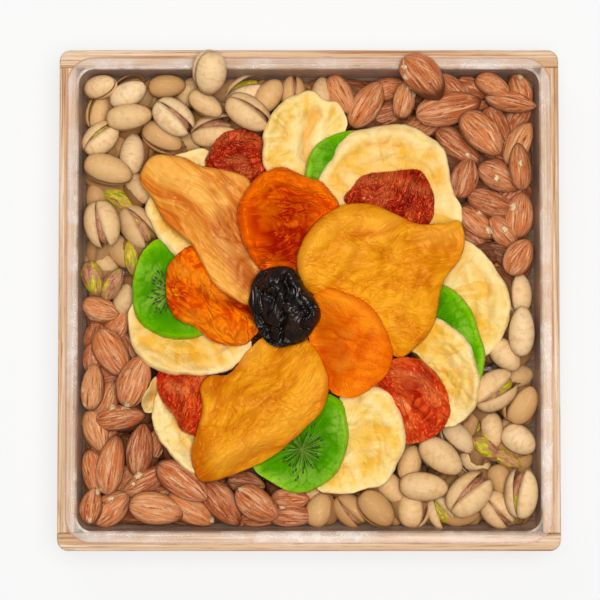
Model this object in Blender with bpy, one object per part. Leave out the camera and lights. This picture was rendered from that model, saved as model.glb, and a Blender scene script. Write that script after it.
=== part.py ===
"""A wooden gift tray of dried fruit and nuts.

Four rails hold a base panel in their grooves and a clear moulded liner that hangs from its flange.
Four heaps of nuts fill the liner, pistachios and almonds by turns, with the loose nuts lying on them
and a fan of dried fruit over the middle.  Metres, +Z up, the tray stands on z = 0 about the origin.
"""

import math

import bmesh
import bpy
import numpy as np
from mathutils import Matrix, Vector
from mathutils.bvhtree import BVHTree

# The wooden tray: front and back rails run full width, the side rails butt between them
TRAY_SIDE = 0.2286
RAIL_THICK = 0.008
RAIL_HEIGHT = 0.038
CORNER_RADIUS = 0.005
EDGE_EASE = 0.0006
BUTT_GAP = 0.0003

# Base panel, let into a groove in every rail
PANEL_THICK = 0.0032
PANEL_LIFT = 0.003
GROOVE_DEPTH = 0.004
PANEL_GAP = 0.0003

# Clear liner, hung on the rails by its flange
LINER_WALL = 0.0006
LINER_GAP = 0.0003
LINER_SLACK = 0.0004
LINER_CORNER = 0.0075
LINER_FOOT = 0.003
LINER_LIP = 0.0008
FLANGE_REACH = 0.0044
FLANGE_CORNER = 0.012
LINER_DRAFT_ANGLE = math.radians(5)

# Nuts and the heaps they make
HEAP_DEPTH = 0.0155
HEAP_GAP = 0.0003
PILE_GAP = 0.0003
ALMOND_LENGTH = 0.025
ALMOND_WIDTH = 0.0145
ALMOND_THICK = 0.0092
PISTACHIO_LENGTH = 0.021
PISTACHIO_WIDTH = 0.0137
PISTACHIO_THICK = 0.0122
SLIT_WIDTH = 0.0024

# Slit of a split nut: how long and how deep its blade is, and where it lies, as shares of length and thickness
SLIT_LENGTH_SHARE = 0.9
SLIT_DEPTH_SHARE = 1.4
SLIT_PLACE_SHARES = (0.2, 0.62)
SLIT_SHARES = ((0.0, 0.0), (0.25, 0.8), (0.75, 0.8), (1.0, 0.0))

# Dried fruit, thickness of each kind at its middle
APPLE_THICK = 0.0055
KIWI_THICK = 0.0038
PLUM_THICK = 0.0075
APRICOT_THICK = 0.0085
PEAR_THICK = 0.0095
PRUNE_THICK = 0.0145

# Fineness of the meshes and of the height map the pieces are laid on
CORNER_STEPS = 5
CURVE_STEPS = 12
SAMPLE_RINGS = 16
NUT_SIDES = 8
FRUIT_SIDES = 16
MAP_CELLS = 600
SHARP_ANGLE = math.radians(50)

# The plan of the tray is laid out in steps, so many to its side, from its centre to the right and away
PLAN_STEP_SHARE = 1 / 500

# Lines where the heaps meet: where each crosses the middle, and how far it turns, in steps and rise
SPLIT_ACROSS_SHARE = (16, 0.043)
SPLIT_ALONG_SHARE = (3, 0.047)

# Section of a nut along its length: place along it, and half width there
ALMOND_SHARES = ((0.0, 0.0), (0.07, 0.46), (0.3, 0.92), (0.58, 0.97), (0.86, 0.52), (1.0, 0.0))
PISTACHIO_SHARES = ((0.0, 0.0), (0.09, 0.52), (0.33, 0.94), (0.62, 0.95), (0.88, 0.56), (1.0, 0.0))

# Section of a fruit from its middle to its rim: place along the radius, and height above the underside
SLICE_SHARES = ((0.0, 1.0), (0.36, 1.0), (0.68, 1.0), (0.93, 0.88), (1.0, 0.45))
HALF_SHARES = ((0.0, 1.0), (0.36, 0.96), (0.68, 0.82), (0.91, 0.55), (1.0, 0.25))
CUP_SHARES = ((0.0, 0.42), (0.38, 0.5), (0.74, 1.0), (0.93, 0.9), (1.0, 0.5))

# Nuts of each heap: right, away (steps), heading (degrees), length and width (shares of the mean nut)
BACK_LEFT_SHARES = (
    (-214, 214, 0, 0.7, 0.8), (-181, 214, 35, 0.9, 0.95), (-142, 215, 5, 0.85, 0.9),
    (-65, 221, 28, 0.95, 0.95), (-39, 206, 65, 0.85, 1.0), (-17, 213, 90, 0.75, 0.8),
    (-214, 188, 80, 0.65, 0.75), (-118, 207, -35, 0.75, 0.8), (-96, 171, 15, 1.05, 1.0),
    (-212, 163, 42, 0.95, 1.0), (-147, 163, -32, 1.05, 1.05), (-177, 146, 85, 1.0, 0.8),
    (-119, 161, 20, 0.65, 0.85), (-171, 113, -50, 0.8, 0.85), (-217, 106, 90, 0.65, 0.65),
    (-191, 103, -30, 0.8, 0.65), (-172, 76, -52, 1.05, 1.0), (-192, 50, -60, 0.8, 0.8),
    (-211, 40, -35, 0.8, 0.95), (-179, 43, -80, 0.85, 0.5), (-218, 23, -75, 0.85, 0.75),
    (-197, 19, 60, 0.8, 0.75),
)
BACK_RIGHT_SHARES = (
    (32, 211, -60, 0.8, 0.8), (58, 198, 57, 1.05, 1.05), (81, 214, 10, 0.7, 0.85),
    (95, 202, 80, 0.7, 0.75), (116, 176, 20, 0.75, 0.8), (143, 217, -40, 0.75, 0.6),
    (165, 217, -25, 0.6, 0.6), (184, 222, -25, 0.7, 0.65), (212, 214, -65, 0.65, 0.75),
    (203, 200, -12, 1.0, 0.7), (189, 173, -65, 0.8, 0.8), (211, 158, 62, 0.9, 0.8),
    (149, 157, -35, 1.0, 0.8), (155, 123, 70, 0.8, 1.0), (191, 125, -30, 0.85, 1.0),
    (183, 98, -15, 0.95, 0.85), (215, 88, 83, 0.9, 0.95), (168, 78, -35, 0.8, 0.7),
    (197, 69, -50, 0.7, 0.75), (186, 39, -50, 0.7, 0.6), (210, 45, 60, 0.6, 0.95),
)
FRONT_RIGHT_SHARES = (
    (209, 10, 95, 0.8, 0.85), (196, -56, -50, 0.85, 1.0), (212, -77, 0, 0.75, 0.85),
    (211, -102, 65, 0.95, 1.15), (184, -128, -80, 0.75, 0.75), (166, -124, -65, 0.65, 0.7),
    (179, -149, -40, 0.8, 0.65), (200, -159, -30, 0.6, 0.5), (215, -139, -35, 0.85, 1.1),
    (148, -139, -50, 0.85, 0.95), (168, -163, -40, 0.85, 0.95), (100, -160, 75, 0.85, 0.8),
    (82, -188, -50, 0.85, 0.9), (67, -210, -45, 1.0, 1.1), (40, -209, -50, 0.8, 0.85),
    (9, -211, 10, 0.8, 1.0), (105, -213, 80, 0.75, 1.05), (134, -217, 30, 0.5, 0.6),
    (153, -218, 10, 0.85, 0.75), (192, -181, -60, 0.75, 0.85), (189, -211, -50, 0.95, 1.15),
)
FRONT_LEFT_SHARES = (
    (-211, -8, -20, 0.6, 0.85), (-192, -22, 60, 0.65, 0.75), (-216, -34, 80, 0.6, 0.55),
    (-218, -54, 75, 0.65, 0.6), (-179, -49, -65, 0.6, 0.5), (-218, -85, 85, 0.85, 0.7),
    (-202, -99, 72, 0.75, 0.7), (-189, -117, 8, 0.9, 0.8), (-219, -130, -70, 0.85, 0.8),
    (-169, -149, 83, 1.0, 0.9), (-218, -171, -80, 0.8, 0.6), (-185, -178, 60, 0.6, 0.5),
    (-156, -145, 65, 0.65, 0.5), (-163, -181, 30, 0.9, 0.9), (-221, -204, 80, 0.6, 0.6),
    (-199, -209, 42, 0.8, 1.05), (-117, -212, -30, 1.0, 0.9), (-87, -203, -52, 1.0, 1.0),
    (-63, -181, 20, 0.6, 0.7), (-47, -217, -10, 0.75, 0.55), (-19, -199, 0, 0.65, 0.6),
    (-19, -220, 0, 0.8, 0.6),
)

# Loose nuts: name, right, away, heading, pitch, roll, length, width, and how far round a split one opens
LOOSE_SHARES = (
    ("pistachio_01", -181, 184, 8, 4, 0, 1.02, 1.0, None),
    ("pistachio_02", -136, 184, -40, -6, 0, 1.0, 1.05, -15),
    ("pistachio_03", -61, 189, -32, 5, 0, 1.1, 1.05, -27),
    ("pistachio_13", -104, 197, -35, -6, 0, 0.85, 0.85, None),
    ("pistachio_04", -99, 226, 80, -35, 0, 1.05, 1.1, None),
    ("pistachio_05", -202, 131, -18, 3, 0, 1.1, 1.1, None),
    ("pistachio_06", -208, 76, -78, -4, 0, 1.05, 1.1, 10),
    ("almond_01", 141, 193, 13, 5, 0, 1.25, 1.1, None),
    ("almond_02", 114, 221, -45, 22, 14, 1.08, 1.15, None),
    ("almond_03", 173, 166, -48, -5, 6, 1.02, 1.1, None),
    ("almond_04", 213, 134, 94, 6, 55, 0.88, 1.0, None),
    ("pistachio_07", 213, -32, 88, -4, 0, 1.1, 1.0, None),
    ("pistachio_08", 186, -91, 32, 5, 0, 1.05, 1.15, 15),
    ("pistachio_09", 132, -156, -38, -4, 0, 1.1, 1.15, None),
    ("pistachio_10", 115, -187, -5, 4, 0, 1.08, 1.1, None),
    ("pistachio_11", 160, -194, 45, 5, 0, 1.12, 1.15, -21),
    ("pistachio_12", 211, -194, 88, -5, 0, 1.08, 1.0, -30),
    ("almond_05", -198, -54, -58, 6, 4, 1.02, 1.05, None),
    ("almond_06", -175, -82, 70, -5, -4, 1.02, 1.05, None),
    ("almond_07", -199, -165, 80, 5, 6, 1.12, 0.9, None),
    ("almond_08", -127, -182, -35, -5, 0, 1.12, 1.05, None),
    ("almond_09", -152, -209, -10, 4, 4, 1.04, 1.05, None),
    ("almond_10", -52, -204, -35, -4, 4, 0.92, 1.05, None),
)

# Dried fruit from the lowest piece to the highest: name, kind, outline (steps right and away)
FRUIT_SHARES = (
    ("apple_right", "apple", (
        (155, 61), (178, 46), (194, 23), (202, -4), (200, -26), (189, -47), (170, -60), (152, -54),
        (140, -32), (134, 0), (136, 30), (144, 52))),
    ("kiwi_right", "kiwi", (
        (132, 14), (150, 5), (163, -12), (171, -36), (176, -55), (172, -80), (161, -94), (146, -88),
        (134, -66), (122, -40), (118, -10))),
    ("apple_front_right", "apple", (
        (128, -17), (150, -32), (163, -51), (169, -74), (170, -92), (163, -111), (148, -125),
        (132, -127), (122, -110), (116, -90), (106, -74), (98, -56), (102, -38), (113, -24))),
    ("prune_tucked_in", "plum", (
        (86, -61), (93, -54), (100, -51), (108, -55), (112, -63), (109, -75), (99, -81), (87, -77))),
    ("plum_front_right", "plum", (
        (83, -59), (111, -60), (131, -79), (141, -103), (139, -120), (126, -136), (103, -145),
        (90, -139), (82, -122), (74, -104), (66, -86), (70, -70))),
    ("apple_front", "apple", (
        (75, -89), (92, -111), (98, -138), (91, -162), (76, -184), (52, -193), (24, -196), (8, -190),
        (12, -172), (22, -156), (26, -132), (26, -110), (36, -92), (56, -85))),
    ("kiwi_front", "kiwi", (
        (20, -93), (34, -104), (40, -129), (38, -151), (27, -174), (8, -189), (-16, -193), (-40, -182),
        (-56, -168), (-52, -154), (-36, -140), (-18, -124), (-4, -106), (6, -94))),
    ("apple_sliver", "apple", (
        (-154, -77), (-161, -87), (-166, -97), (-167, -107), (-164, -113), (-155, -112), (-143, -104),
        (-134, -90), (-135, -78), (-144, -73))),
    ("apple_front_left", "apple", (
        (-152, -94), (-158, -112), (-155, -129), (-146, -146), (-134, -162), (-113, -176),
        (-101, -170), (-101, -148), (-104, -128), (-114, -110), (-126, -96), (-140, -89))),
    ("plum_front_left", "plum", (
        (-152, -76), (-143, -68), (-124, -66), (-104, -69), (-96, -86), (-96, -108), (-102, -127),
        (-112, -136), (-127, -131), (-137, -113), (-149, -96))),
    ("apple_left", "apple", (
        (-180, -8), (-182, -24), (-176, -49), (-160, -68), (-138, -76), (-112, -76), (-84, -72),
        (-68, -61), (-58, -46), (-66, -34), (-90, -26), (-120, -22), (-148, -12), (-168, 2))),
    ("kiwi_left", "kiwi", (
        (-153, 61), (-169, 46), (-177, 22), (-177, -5), (-168, -25), (-148, -38), (-124, -40),
        (-104, -34), (-100, -22), (-114, -6), (-125, 12), (-128, 36), (-134, 56))),
    ("apple_back_left", "apple", (
        (-164, 93), (-161, 78), (-153, 65), (-144, 54), (-131, 42), (-110, 44), (-92, 60), (-80, 84),
        (-78, 108), (-84, 132), (-97, 149), (-112, 154), (-136, 146), (-152, 128))),
    ("plum_back_left", "plum", (
        (-79, 172), (-62, 172), (-46, 163), (-38, 150), (-38, 134), (-46, 120), (-60, 115), (-82, 118),
        (-101, 127), (-106, 138), (-100, 152), (-90, 165))),
    ("apple_back", "apple", (
        (-36, 191), (-20, 206), (2, 211), (18, 203), (30, 198), (38, 181), (36, 165), (27, 142),
        (8, 124), (-14, 118), (-34, 120), (-46, 135), (-48, 155), (-43, 176))),
    ("kiwi_back", "kiwi", (
        (-4, 127), (1, 146), (12, 160), (30, 169), (51, 172), (60, 162), (50, 148), (36, 134),
        (26, 118), (16, 104), (5, 98), (-3, 112))),
    ("apple_back_right", "apple", (
        (8, 119), (23, 143), (36, 163), (60, 174), (96, 177), (118, 169), (134, 155), (142, 137),
        (146, 110), (153, 92), (150, 72), (132, 64), (104, 66), (76, 78), (50, 85), (28, 86), (14, 96))),
    ("plum_back_right", "plum", (
        (34, 101), (43, 113), (56, 125), (80, 129), (109, 131), (120, 119), (126, 101), (124, 82),
        (110, 70), (88, 76), (66, 86), (46, 90))),
    ("apricot_left", "apricot", (
        (-144, 10), (-141, 33), (-126, 50), (-112, 53), (-94, 38), (-74, 20), (-58, 5), (-50, -12),
        (-52, -32), (-67, -45), (-92, -44), (-115, -29), (-135, -17))),
    ("pear_back_left", "pear", (
        (-170, 121), (-158, 142), (-136, 145), (-109, 135), (-74, 127), (-58, 117), (-58, 92),
        (-56, 66), (-46, 36), (-46, 8), (-60, -6), (-80, 3), (-96, 16), (-108, 38), (-124, 60),
        (-143, 76), (-158, 102))),
    ("apricot_back", "cup", (
        (-72, 88), (-64, 109), (-48, 126), (-24, 132), (-3, 123), (14, 116), (29, 94), (20, 76),
        (6, 58), (-4, 38), (-14, 22), (-32, 20), (-48, 28), (-62, 48), (-70, 71))),
    ("pear_right", "pear", (
        (-13, 38), (-8, 56), (11, 80), (36, 94), (62, 95), (88, 85), (110, 76), (134, 76), (151, 78),
        (156, 60), (149, 38), (134, 18), (129, -6), (121, -30), (98, -56), (82, -55), (71, -36),
        (55, -17), (33, -4), (9, 1), (-7, 14))),
    ("apricot_front_right", "apricot", (
        (43, -99), (66, -87), (80, -72), (83, -54), (75, -26), (60, -6), (36, 7), (14, 10), (2, 1),
        (1, -20), (0, -40), (7, -58), (13, -78), (24, -94))),
    ("pear_front", "pear", (
        (-97, -76), (-82, -75), (-68, -60), (-58, -48), (-46, -38), (-30, -36), (-13, -36), (1, -42),
        (13, -59), (21, -84), (14, -110), (-4, -129), (-32, -154), (-64, -171), (-98, -182),
        (-112, -178), (-117, -150), (-108, -115), (-108, -86))),
    ("prune_middle", "prune", (
        (-50, 25), (-32, 32), (-15, 28), (-2, 11), (9, -3), (12, -17), (5, -32), (-8, -44), (-32, -48),
        (-46, -39), (-56, -20), (-60, 0))),
)

FRUIT_KINDS = {
    "apple": (APPLE_THICK, SLICE_SHARES, (0.93, 0.80, 0.45)),
    "kiwi": (KIWI_THICK, SLICE_SHARES, (0.25, 0.50, 0.05)),
    "plum": (PLUM_THICK, HALF_SHARES, (0.42, 0.05, 0.03)),
    "apricot": (APRICOT_THICK, HALF_SHARES, (0.85, 0.30, 0.02)),
    "cup": (APRICOT_THICK, CUP_SHARES, (0.80, 0.24, 0.02)),
    "pear": (PEAR_THICK, HALF_SHARES, (0.85, 0.45, 0.10)),
    "prune": (PRUNE_THICK, HALF_SHARES, (0.02, 0.018, 0.018)),
}

# How far a piece of fruit may slope and bend over what it lies on, as shares of its reach, and how much more
# it heeds what would poke through it than what it would bridge
TILT_SHARE = 0.3
BEND_SHARE = 0.22
BEARING_WEIGHT = 8.0

# Thickness a piece of fruit keeps where what lies beneath dents it
THINNEST_SHARE = 0.85

# Passes made in fitting a piece of fruit to the pile, in lifting it clear and in evening out its underside
FITTING_ROUNDS = 4
LIFTING_ROUNDS = 40
EVENING_ROUNDS = 4

# Mean height of a nut's middle above the heap it is bedded in, as a share of its thickness, how far it tips,
# and the turns by which both vary from nut to nut
BEDDED_SHARE = 0.16
BEDDED_TIP_ANGLE = math.radians(9)
HEIGHT_TURN_ANGLE = math.radians(109)
TIP_TURN_ANGLE = math.radians(132)

STEP = TRAY_SIDE * PLAN_STEP_SHARE
INSIDE = TRAY_SIDE / 2 - RAIL_THICK
PANEL_TOP = PANEL_LIFT + PANEL_THICK
FLOOR_UNDER = PANEL_TOP + LINER_GAP
FLOOR_TOP = FLOOR_UNDER + LINER_WALL
FLANGE_UNDER = RAIL_HEIGHT + LINER_GAP
WALL_TOP = INSIDE - LINER_SLACK
WALL_LEAN = math.tan(LINER_DRAFT_ANGLE)
HEAP_TOP = FLOOR_TOP + HEAP_GAP + HEAP_DEPTH


def material(name, colour, rough):
    made = bpy.data.materials.new(name)
    made.use_nodes = True
    shader = made.node_tree.nodes["Principled BSDF"]
    shader.inputs["Base Color"].default_value = (*colour, 1)
    shader.inputs["Roughness"].default_value = rough
    made.diffuse_color = (*colour, 1)
    return made


def add_object(name, vertices, faces, colour=None, rough=0.5):
    mesh = bpy.data.meshes.new(name)
    mesh.from_pydata([tuple(v) for v in vertices], [], faces)
    mesh.update()
    made = bpy.data.objects.new(name, mesh)
    bpy.context.scene.collection.objects.link(made)
    if colour:
        mesh.materials.append(material(name, colour, rough))
    return made


def face_outward(made):
    work = bmesh.new()
    work.from_mesh(made.data)
    bmesh.ops.recalc_face_normals(work, faces=work.faces)
    work.to_mesh(made.data)
    work.free()
    return made


def loft(name, rings, colour=None, rough=0.5):
    """Joins rings of as many points each and closes both ends."""
    count = len(rings[0])
    faces = [tuple(reversed(range(count)))]
    for row in range(len(rings) - 1):
        low, high = row * count, (row + 1) * count
        faces += [(low + i, low + (i + 1) % count, high + (i + 1) % count, high + i) for i in range(count)]
    top = (len(rings) - 1) * count
    faces.append(tuple(range(top, top + count)))
    return face_outward(add_object(name, [point for ring in rings for point in ring], faces, colour, rough))


def combine(target, tools, operation):
    """Joins or cuts the target with the tools for good, then throws the tools away."""
    group = bpy.data.collections.new("tools")
    bpy.context.scene.collection.children.link(group)
    for tool in tools:
        bpy.context.scene.collection.objects.unlink(tool)
        group.objects.link(tool)
    step = target.modifiers.new("combine", "BOOLEAN")
    step.operation = operation
    step.solver = "EXACT"
    step.operand_type = "COLLECTION"
    step.collection = group
    bpy.context.view_layer.update()
    graph = bpy.context.evaluated_depsgraph_get()
    mesh = bpy.data.meshes.new_from_object(target.evaluated_get(graph))
    target.modifiers.clear()
    old = target.data
    target.data = mesh
    mesh.name = target.name
    bpy.data.meshes.remove(old)
    for tool in tools:
        bpy.data.objects.remove(tool)
    bpy.data.collections.remove(group)
    return target


def box(name, low, high, colour=None, rough=0.5):
    rings = [[Vector((x, y, z)) for x, y in ((low[0], low[1]), (high[0], low[1]), (high[0], high[1]),
                                             (low[0], high[1]))] for z in (low[2], high[2])]
    return loft(name, rings, colour, rough)


def turned(points, angle):
    spin = Matrix.Rotation(angle, 3, "Z")
    return [spin @ point for point in points]


def rounded_square(half, radius, z):
    """A square with round corners, anticlockwise."""
    points = []
    for corner in range(4):
        middle = Vector((half - radius, half - radius, 0))
        for i in range(CORNER_STEPS + 1):
            angle = math.pi / 2 * i / CORNER_STEPS
            point = middle + Vector((math.cos(angle), math.sin(angle), 0)) * radius
            points.append(Matrix.Rotation(corner * math.pi / 2, 3, "Z") @ point + Vector((0, 0, z)))
    return points


def build_rails():
    wood = (0.72, 0.53, 0.33)
    radius = min(CORNER_RADIUS, RAIL_THICK * 0.9)
    half = TRAY_SIDE / 2
    groove_low = PANEL_LIFT - PANEL_GAP
    groove_high = PANEL_TOP + PANEL_GAP
    reach = INSIDE + GROOVE_DEPTH
    rails = []
    for name, angle in (("rail_back", 0), ("rail_front", math.pi)):
        rings = []
        for z, inset in ((0, 0), (RAIL_HEIGHT - EDGE_EASE, 0), (RAIL_HEIGHT, EDGE_EASE)):
            ring = [Vector((-half + inset, INSIDE + inset, z)), Vector((half - inset, INSIDE + inset, z))]
            for side in (0, 1):
                for i in range(CORNER_STEPS + 1):
                    turn = math.pi / 2 * (side + i / CORNER_STEPS)
                    across = (half - radius) * (1 - 2 * side) + math.cos(turn) * (radius - inset)
                    ring.append(Vector((across, half - radius + math.sin(turn) * (radius - inset), z)))
            rings.append(turned(ring, angle))
        rail = loft(name, rings, wood, 0.6)
        low = (-reach, INSIDE - GROOVE_DEPTH, groove_low)
        high = (reach, INSIDE + GROOVE_DEPTH, groove_high)
        cutter = box("groove", low, high)
        cutter.data.transform(Matrix.Rotation(angle, 4, "Z"))
        rails.append(combine(rail, [cutter], "DIFFERENCE"))
    length = INSIDE - BUTT_GAP
    for name, angle in (("rail_right", 0), ("rail_left", math.pi)):
        rings = []
        for z, inset in ((0, 0), (RAIL_HEIGHT - EDGE_EASE, 0), (RAIL_HEIGHT, EDGE_EASE)):
            ring = [Vector((INSIDE + inset, -length, z)), Vector((half - inset, -length, z)),
                    Vector((half - inset, length, z)), Vector((INSIDE + inset, length, z))]
            rings.append(turned(ring, angle))
        rail = loft(name, rings, wood, 0.6)
        cutter = box("groove", (INSIDE - GROOVE_DEPTH, -TRAY_SIDE, groove_low),
                     (INSIDE + GROOVE_DEPTH, TRAY_SIDE, groove_high))
        cutter.data.transform(Matrix.Rotation(angle, 4, "Z"))
        rails.append(combine(rail, [cutter], "DIFFERENCE"))
    reach -= PANEL_GAP
    box("base_panel", (-reach, -reach, PANEL_LIFT), (reach, reach, PANEL_TOP), (0.62, 0.45, 0.28), 0.7)
    return rails


def wall_half(z):
    """Half the width between the liner's walls, measured inside, at a height."""
    return WALL_TOP - LINER_WALL - (FLANGE_UNDER - z) * WALL_LEAN


def build_liner():
    foot = WALL_TOP - (FLANGE_UNDER - FLOOR_UNDER) * WALL_LEAN
    heel = foot + LINER_FOOT * WALL_LEAN
    rim = INSIDE + FLANGE_REACH
    corner = min(LINER_CORNER, WALL_TOP / 2)
    tight = corner - LINER_WALL
    half_foot = LINER_FOOT * 0.3
    under = [
        rounded_square(foot - LINER_FOOT, max(corner - LINER_FOOT, corner * 0.3), FLOOR_UNDER),
        rounded_square(foot - half_foot, corner, FLOOR_UNDER + half_foot),
        rounded_square(heel, corner, FLOOR_UNDER + LINER_FOOT),
        rounded_square(WALL_TOP - LINER_LIP * WALL_LEAN, corner, FLANGE_UNDER - LINER_LIP),
        rounded_square(WALL_TOP + LINER_LIP * 1.2, corner + LINER_LIP, FLANGE_UNDER),
        rounded_square(rim, FLANGE_CORNER, FLANGE_UNDER),
    ]
    over = [
        rounded_square(rim, FLANGE_CORNER, FLANGE_UNDER + LINER_WALL),
        rounded_square(WALL_TOP + LINER_LIP * 1.2, corner + LINER_LIP, FLANGE_UNDER + LINER_WALL),
        rounded_square(WALL_TOP - LINER_WALL, tight, FLANGE_UNDER - LINER_LIP * 0.6),
        rounded_square(heel - LINER_WALL, tight, FLOOR_UNDER + LINER_FOOT + LINER_WALL),
        rounded_square(foot - half_foot - LINER_WALL * 1.4, tight, FLOOR_TOP + half_foot),
        rounded_square(foot - LINER_FOOT - LINER_WALL, max(tight - LINER_FOOT, tight * 0.3), FLOOR_TOP),
    ]
    return loft("liner", under + over, (0.80, 0.85, 0.86), 0.08)


def nut_parts(shares, size, sides):
    """Vertices and faces of a nut lying along x about its middle, blunt end first."""
    length, width, thick = size
    vertices = [Vector((-length / 2, 0, 0))]
    for place, swell in shares[1:-1]:
        for i in range(sides):
            angle = 2 * math.pi * i / sides
            vertices.append(Vector(((place - 0.5) * length, math.cos(angle) * swell * width / 2,
                                    math.sin(angle) * swell * thick / 2)))
    vertices.append(Vector((length / 2, 0, 0)))
    rows = len(shares) - 2
    faces = [(0, 1 + (i + 1) % sides, 1 + i) for i in range(sides)]
    for row in range(rows - 1):
        start = 1 + row * sides
        faces += [(start + i, start + (i + 1) % sides, start + sides + (i + 1) % sides, start + sides + i)
                  for i in range(sides)]
    last = len(vertices) - 1
    start = 1 + (rows - 1) * sides
    faces += [(last, start + i, start + (i + 1) % sides) for i in range(sides)]
    return vertices, faces


def bed(vertices, sides, low):
    """Runs the underside of a placed nut straight down to a level, so that no hollow is left beneath it."""
    for start in range(1, len(vertices) - 1, sides):
        right, left = vertices[start], vertices[start + sides // 2]
        for i in range(sides // 2 + 1, sides):
            spot = left.lerp(right, (i - sides / 2 - 1) / (sides / 2 - 2))
            vertices[start + i] = Vector((spot.x, spot.y, low))
    for end in (0, -1):
        vertices[end].z = low
    return vertices


def nut_sizes(kind, length, width):
    if kind == "almond":
        return ALMOND_SHARES, (ALMOND_LENGTH * length, ALMOND_WIDTH * width, ALMOND_THICK * (1 + width) / 2)
    return PISTACHIO_SHARES, (PISTACHIO_LENGTH * length, PISTACHIO_WIDTH * width, PISTACHIO_THICK * width)


def split_lines():
    """The two lines between the heaps, each as a point and its direction."""
    rise, slope = SPLIT_ACROSS_SHARE
    across = (Vector((0, rise * STEP, 0)), Vector((1, slope, 0)).normalized())
    shift, lean = SPLIT_ALONG_SHARE
    along = (Vector((shift * STEP, 0, 0)), Vector((lean, 1, 0)).normalized())
    return across, along


def clip(points, origin, inward):
    """Keeps the side of a polygon that lies inward of a line."""
    kept = []
    for i, point in enumerate(points):
        before = points[i - 1]
        here, there = (point - origin).dot(inward), (before - origin).dot(inward)
        if (here >= 0) != (there >= 0):
            kept.append(before.lerp(point, there / (there - here)))
        if here >= 0:
            kept.append(point)
    return kept


def heap_limits(right, away):
    """Origin and inward direction of the two lines a heap stays inside of."""
    across, along = split_lines()
    up = Vector((-across[1].y, across[1].x, 0)) * away
    side = Vector((along[1].y, -along[1].x, 0)) * right
    return (across[0] + up * HEAP_GAP / 2, up), (along[0] + side * HEAP_GAP / 2, side)


def build_heap(name, kind, right, away, nuts, colour):
    limits = heap_limits(right, away)
    rings = []
    foot = FLOOR_TOP + HEAP_GAP
    for z, inset in ((foot, LINER_FOOT), (foot + LINER_FOOT, 0), (HEAP_TOP, 0)):
        half = wall_half(z) - HEAP_GAP - inset
        ring = rounded_square(half, max(LINER_CORNER - inset, LINER_CORNER * 0.4), z)
        for origin, inward in limits:
            ring = clip(ring, Vector((origin.x, origin.y, z)), inward)
        rings.append(ring)
    heap = loft(name, rings, colour, 0.55)
    bedded = []
    for index, (x, y, heading, length, width) in enumerate(nuts):
        shares, size = nut_sizes(kind, length, width)
        angle = math.radians(heading)
        height = BEDDED_SHARE * (1 + math.sin(index * HEIGHT_TURN_ANGLE)) * size[2]
        middle = Vector((x * STEP, y * STEP, HEAP_TOP + height))
        wall = wall_half(middle.z) - HEAP_GAP * 3
        walls = ((Vector((right * wall, 0, 0)), Vector((-right, 0, 0))),
                 (Vector((0, away * wall, 0)), Vector((0, -away, 0))))
        for origin, inward in limits + walls:
            lean = inward.x * math.cos(angle) + inward.y * math.sin(angle)
            swing = -inward.x * math.sin(angle) + inward.y * math.cos(angle)
            reach = math.hypot(lean * size[0] / 2, swing * size[1] / 2) + HEAP_GAP
            short = reach - (middle - origin).xy.dot(inward.xy)
            if short > 0:
                middle += inward * short
        vertices, faces = nut_parts(shares, size, NUT_SIDES)
        tip = BEDDED_TIP_ANGLE * math.cos(index * TIP_TURN_ANGLE)
        place = Matrix.Translation(middle) @ Matrix.Rotation(angle, 4, "Z") @ Matrix.Rotation(tip, 4, "Y")
        placed = bed([place @ v for v in vertices], NUT_SIDES, HEAP_TOP - size[2] / 2)
        bedded.append(face_outward(add_object("nut", placed, faces)))
    return combine(heap, bedded, "UNION")


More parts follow.
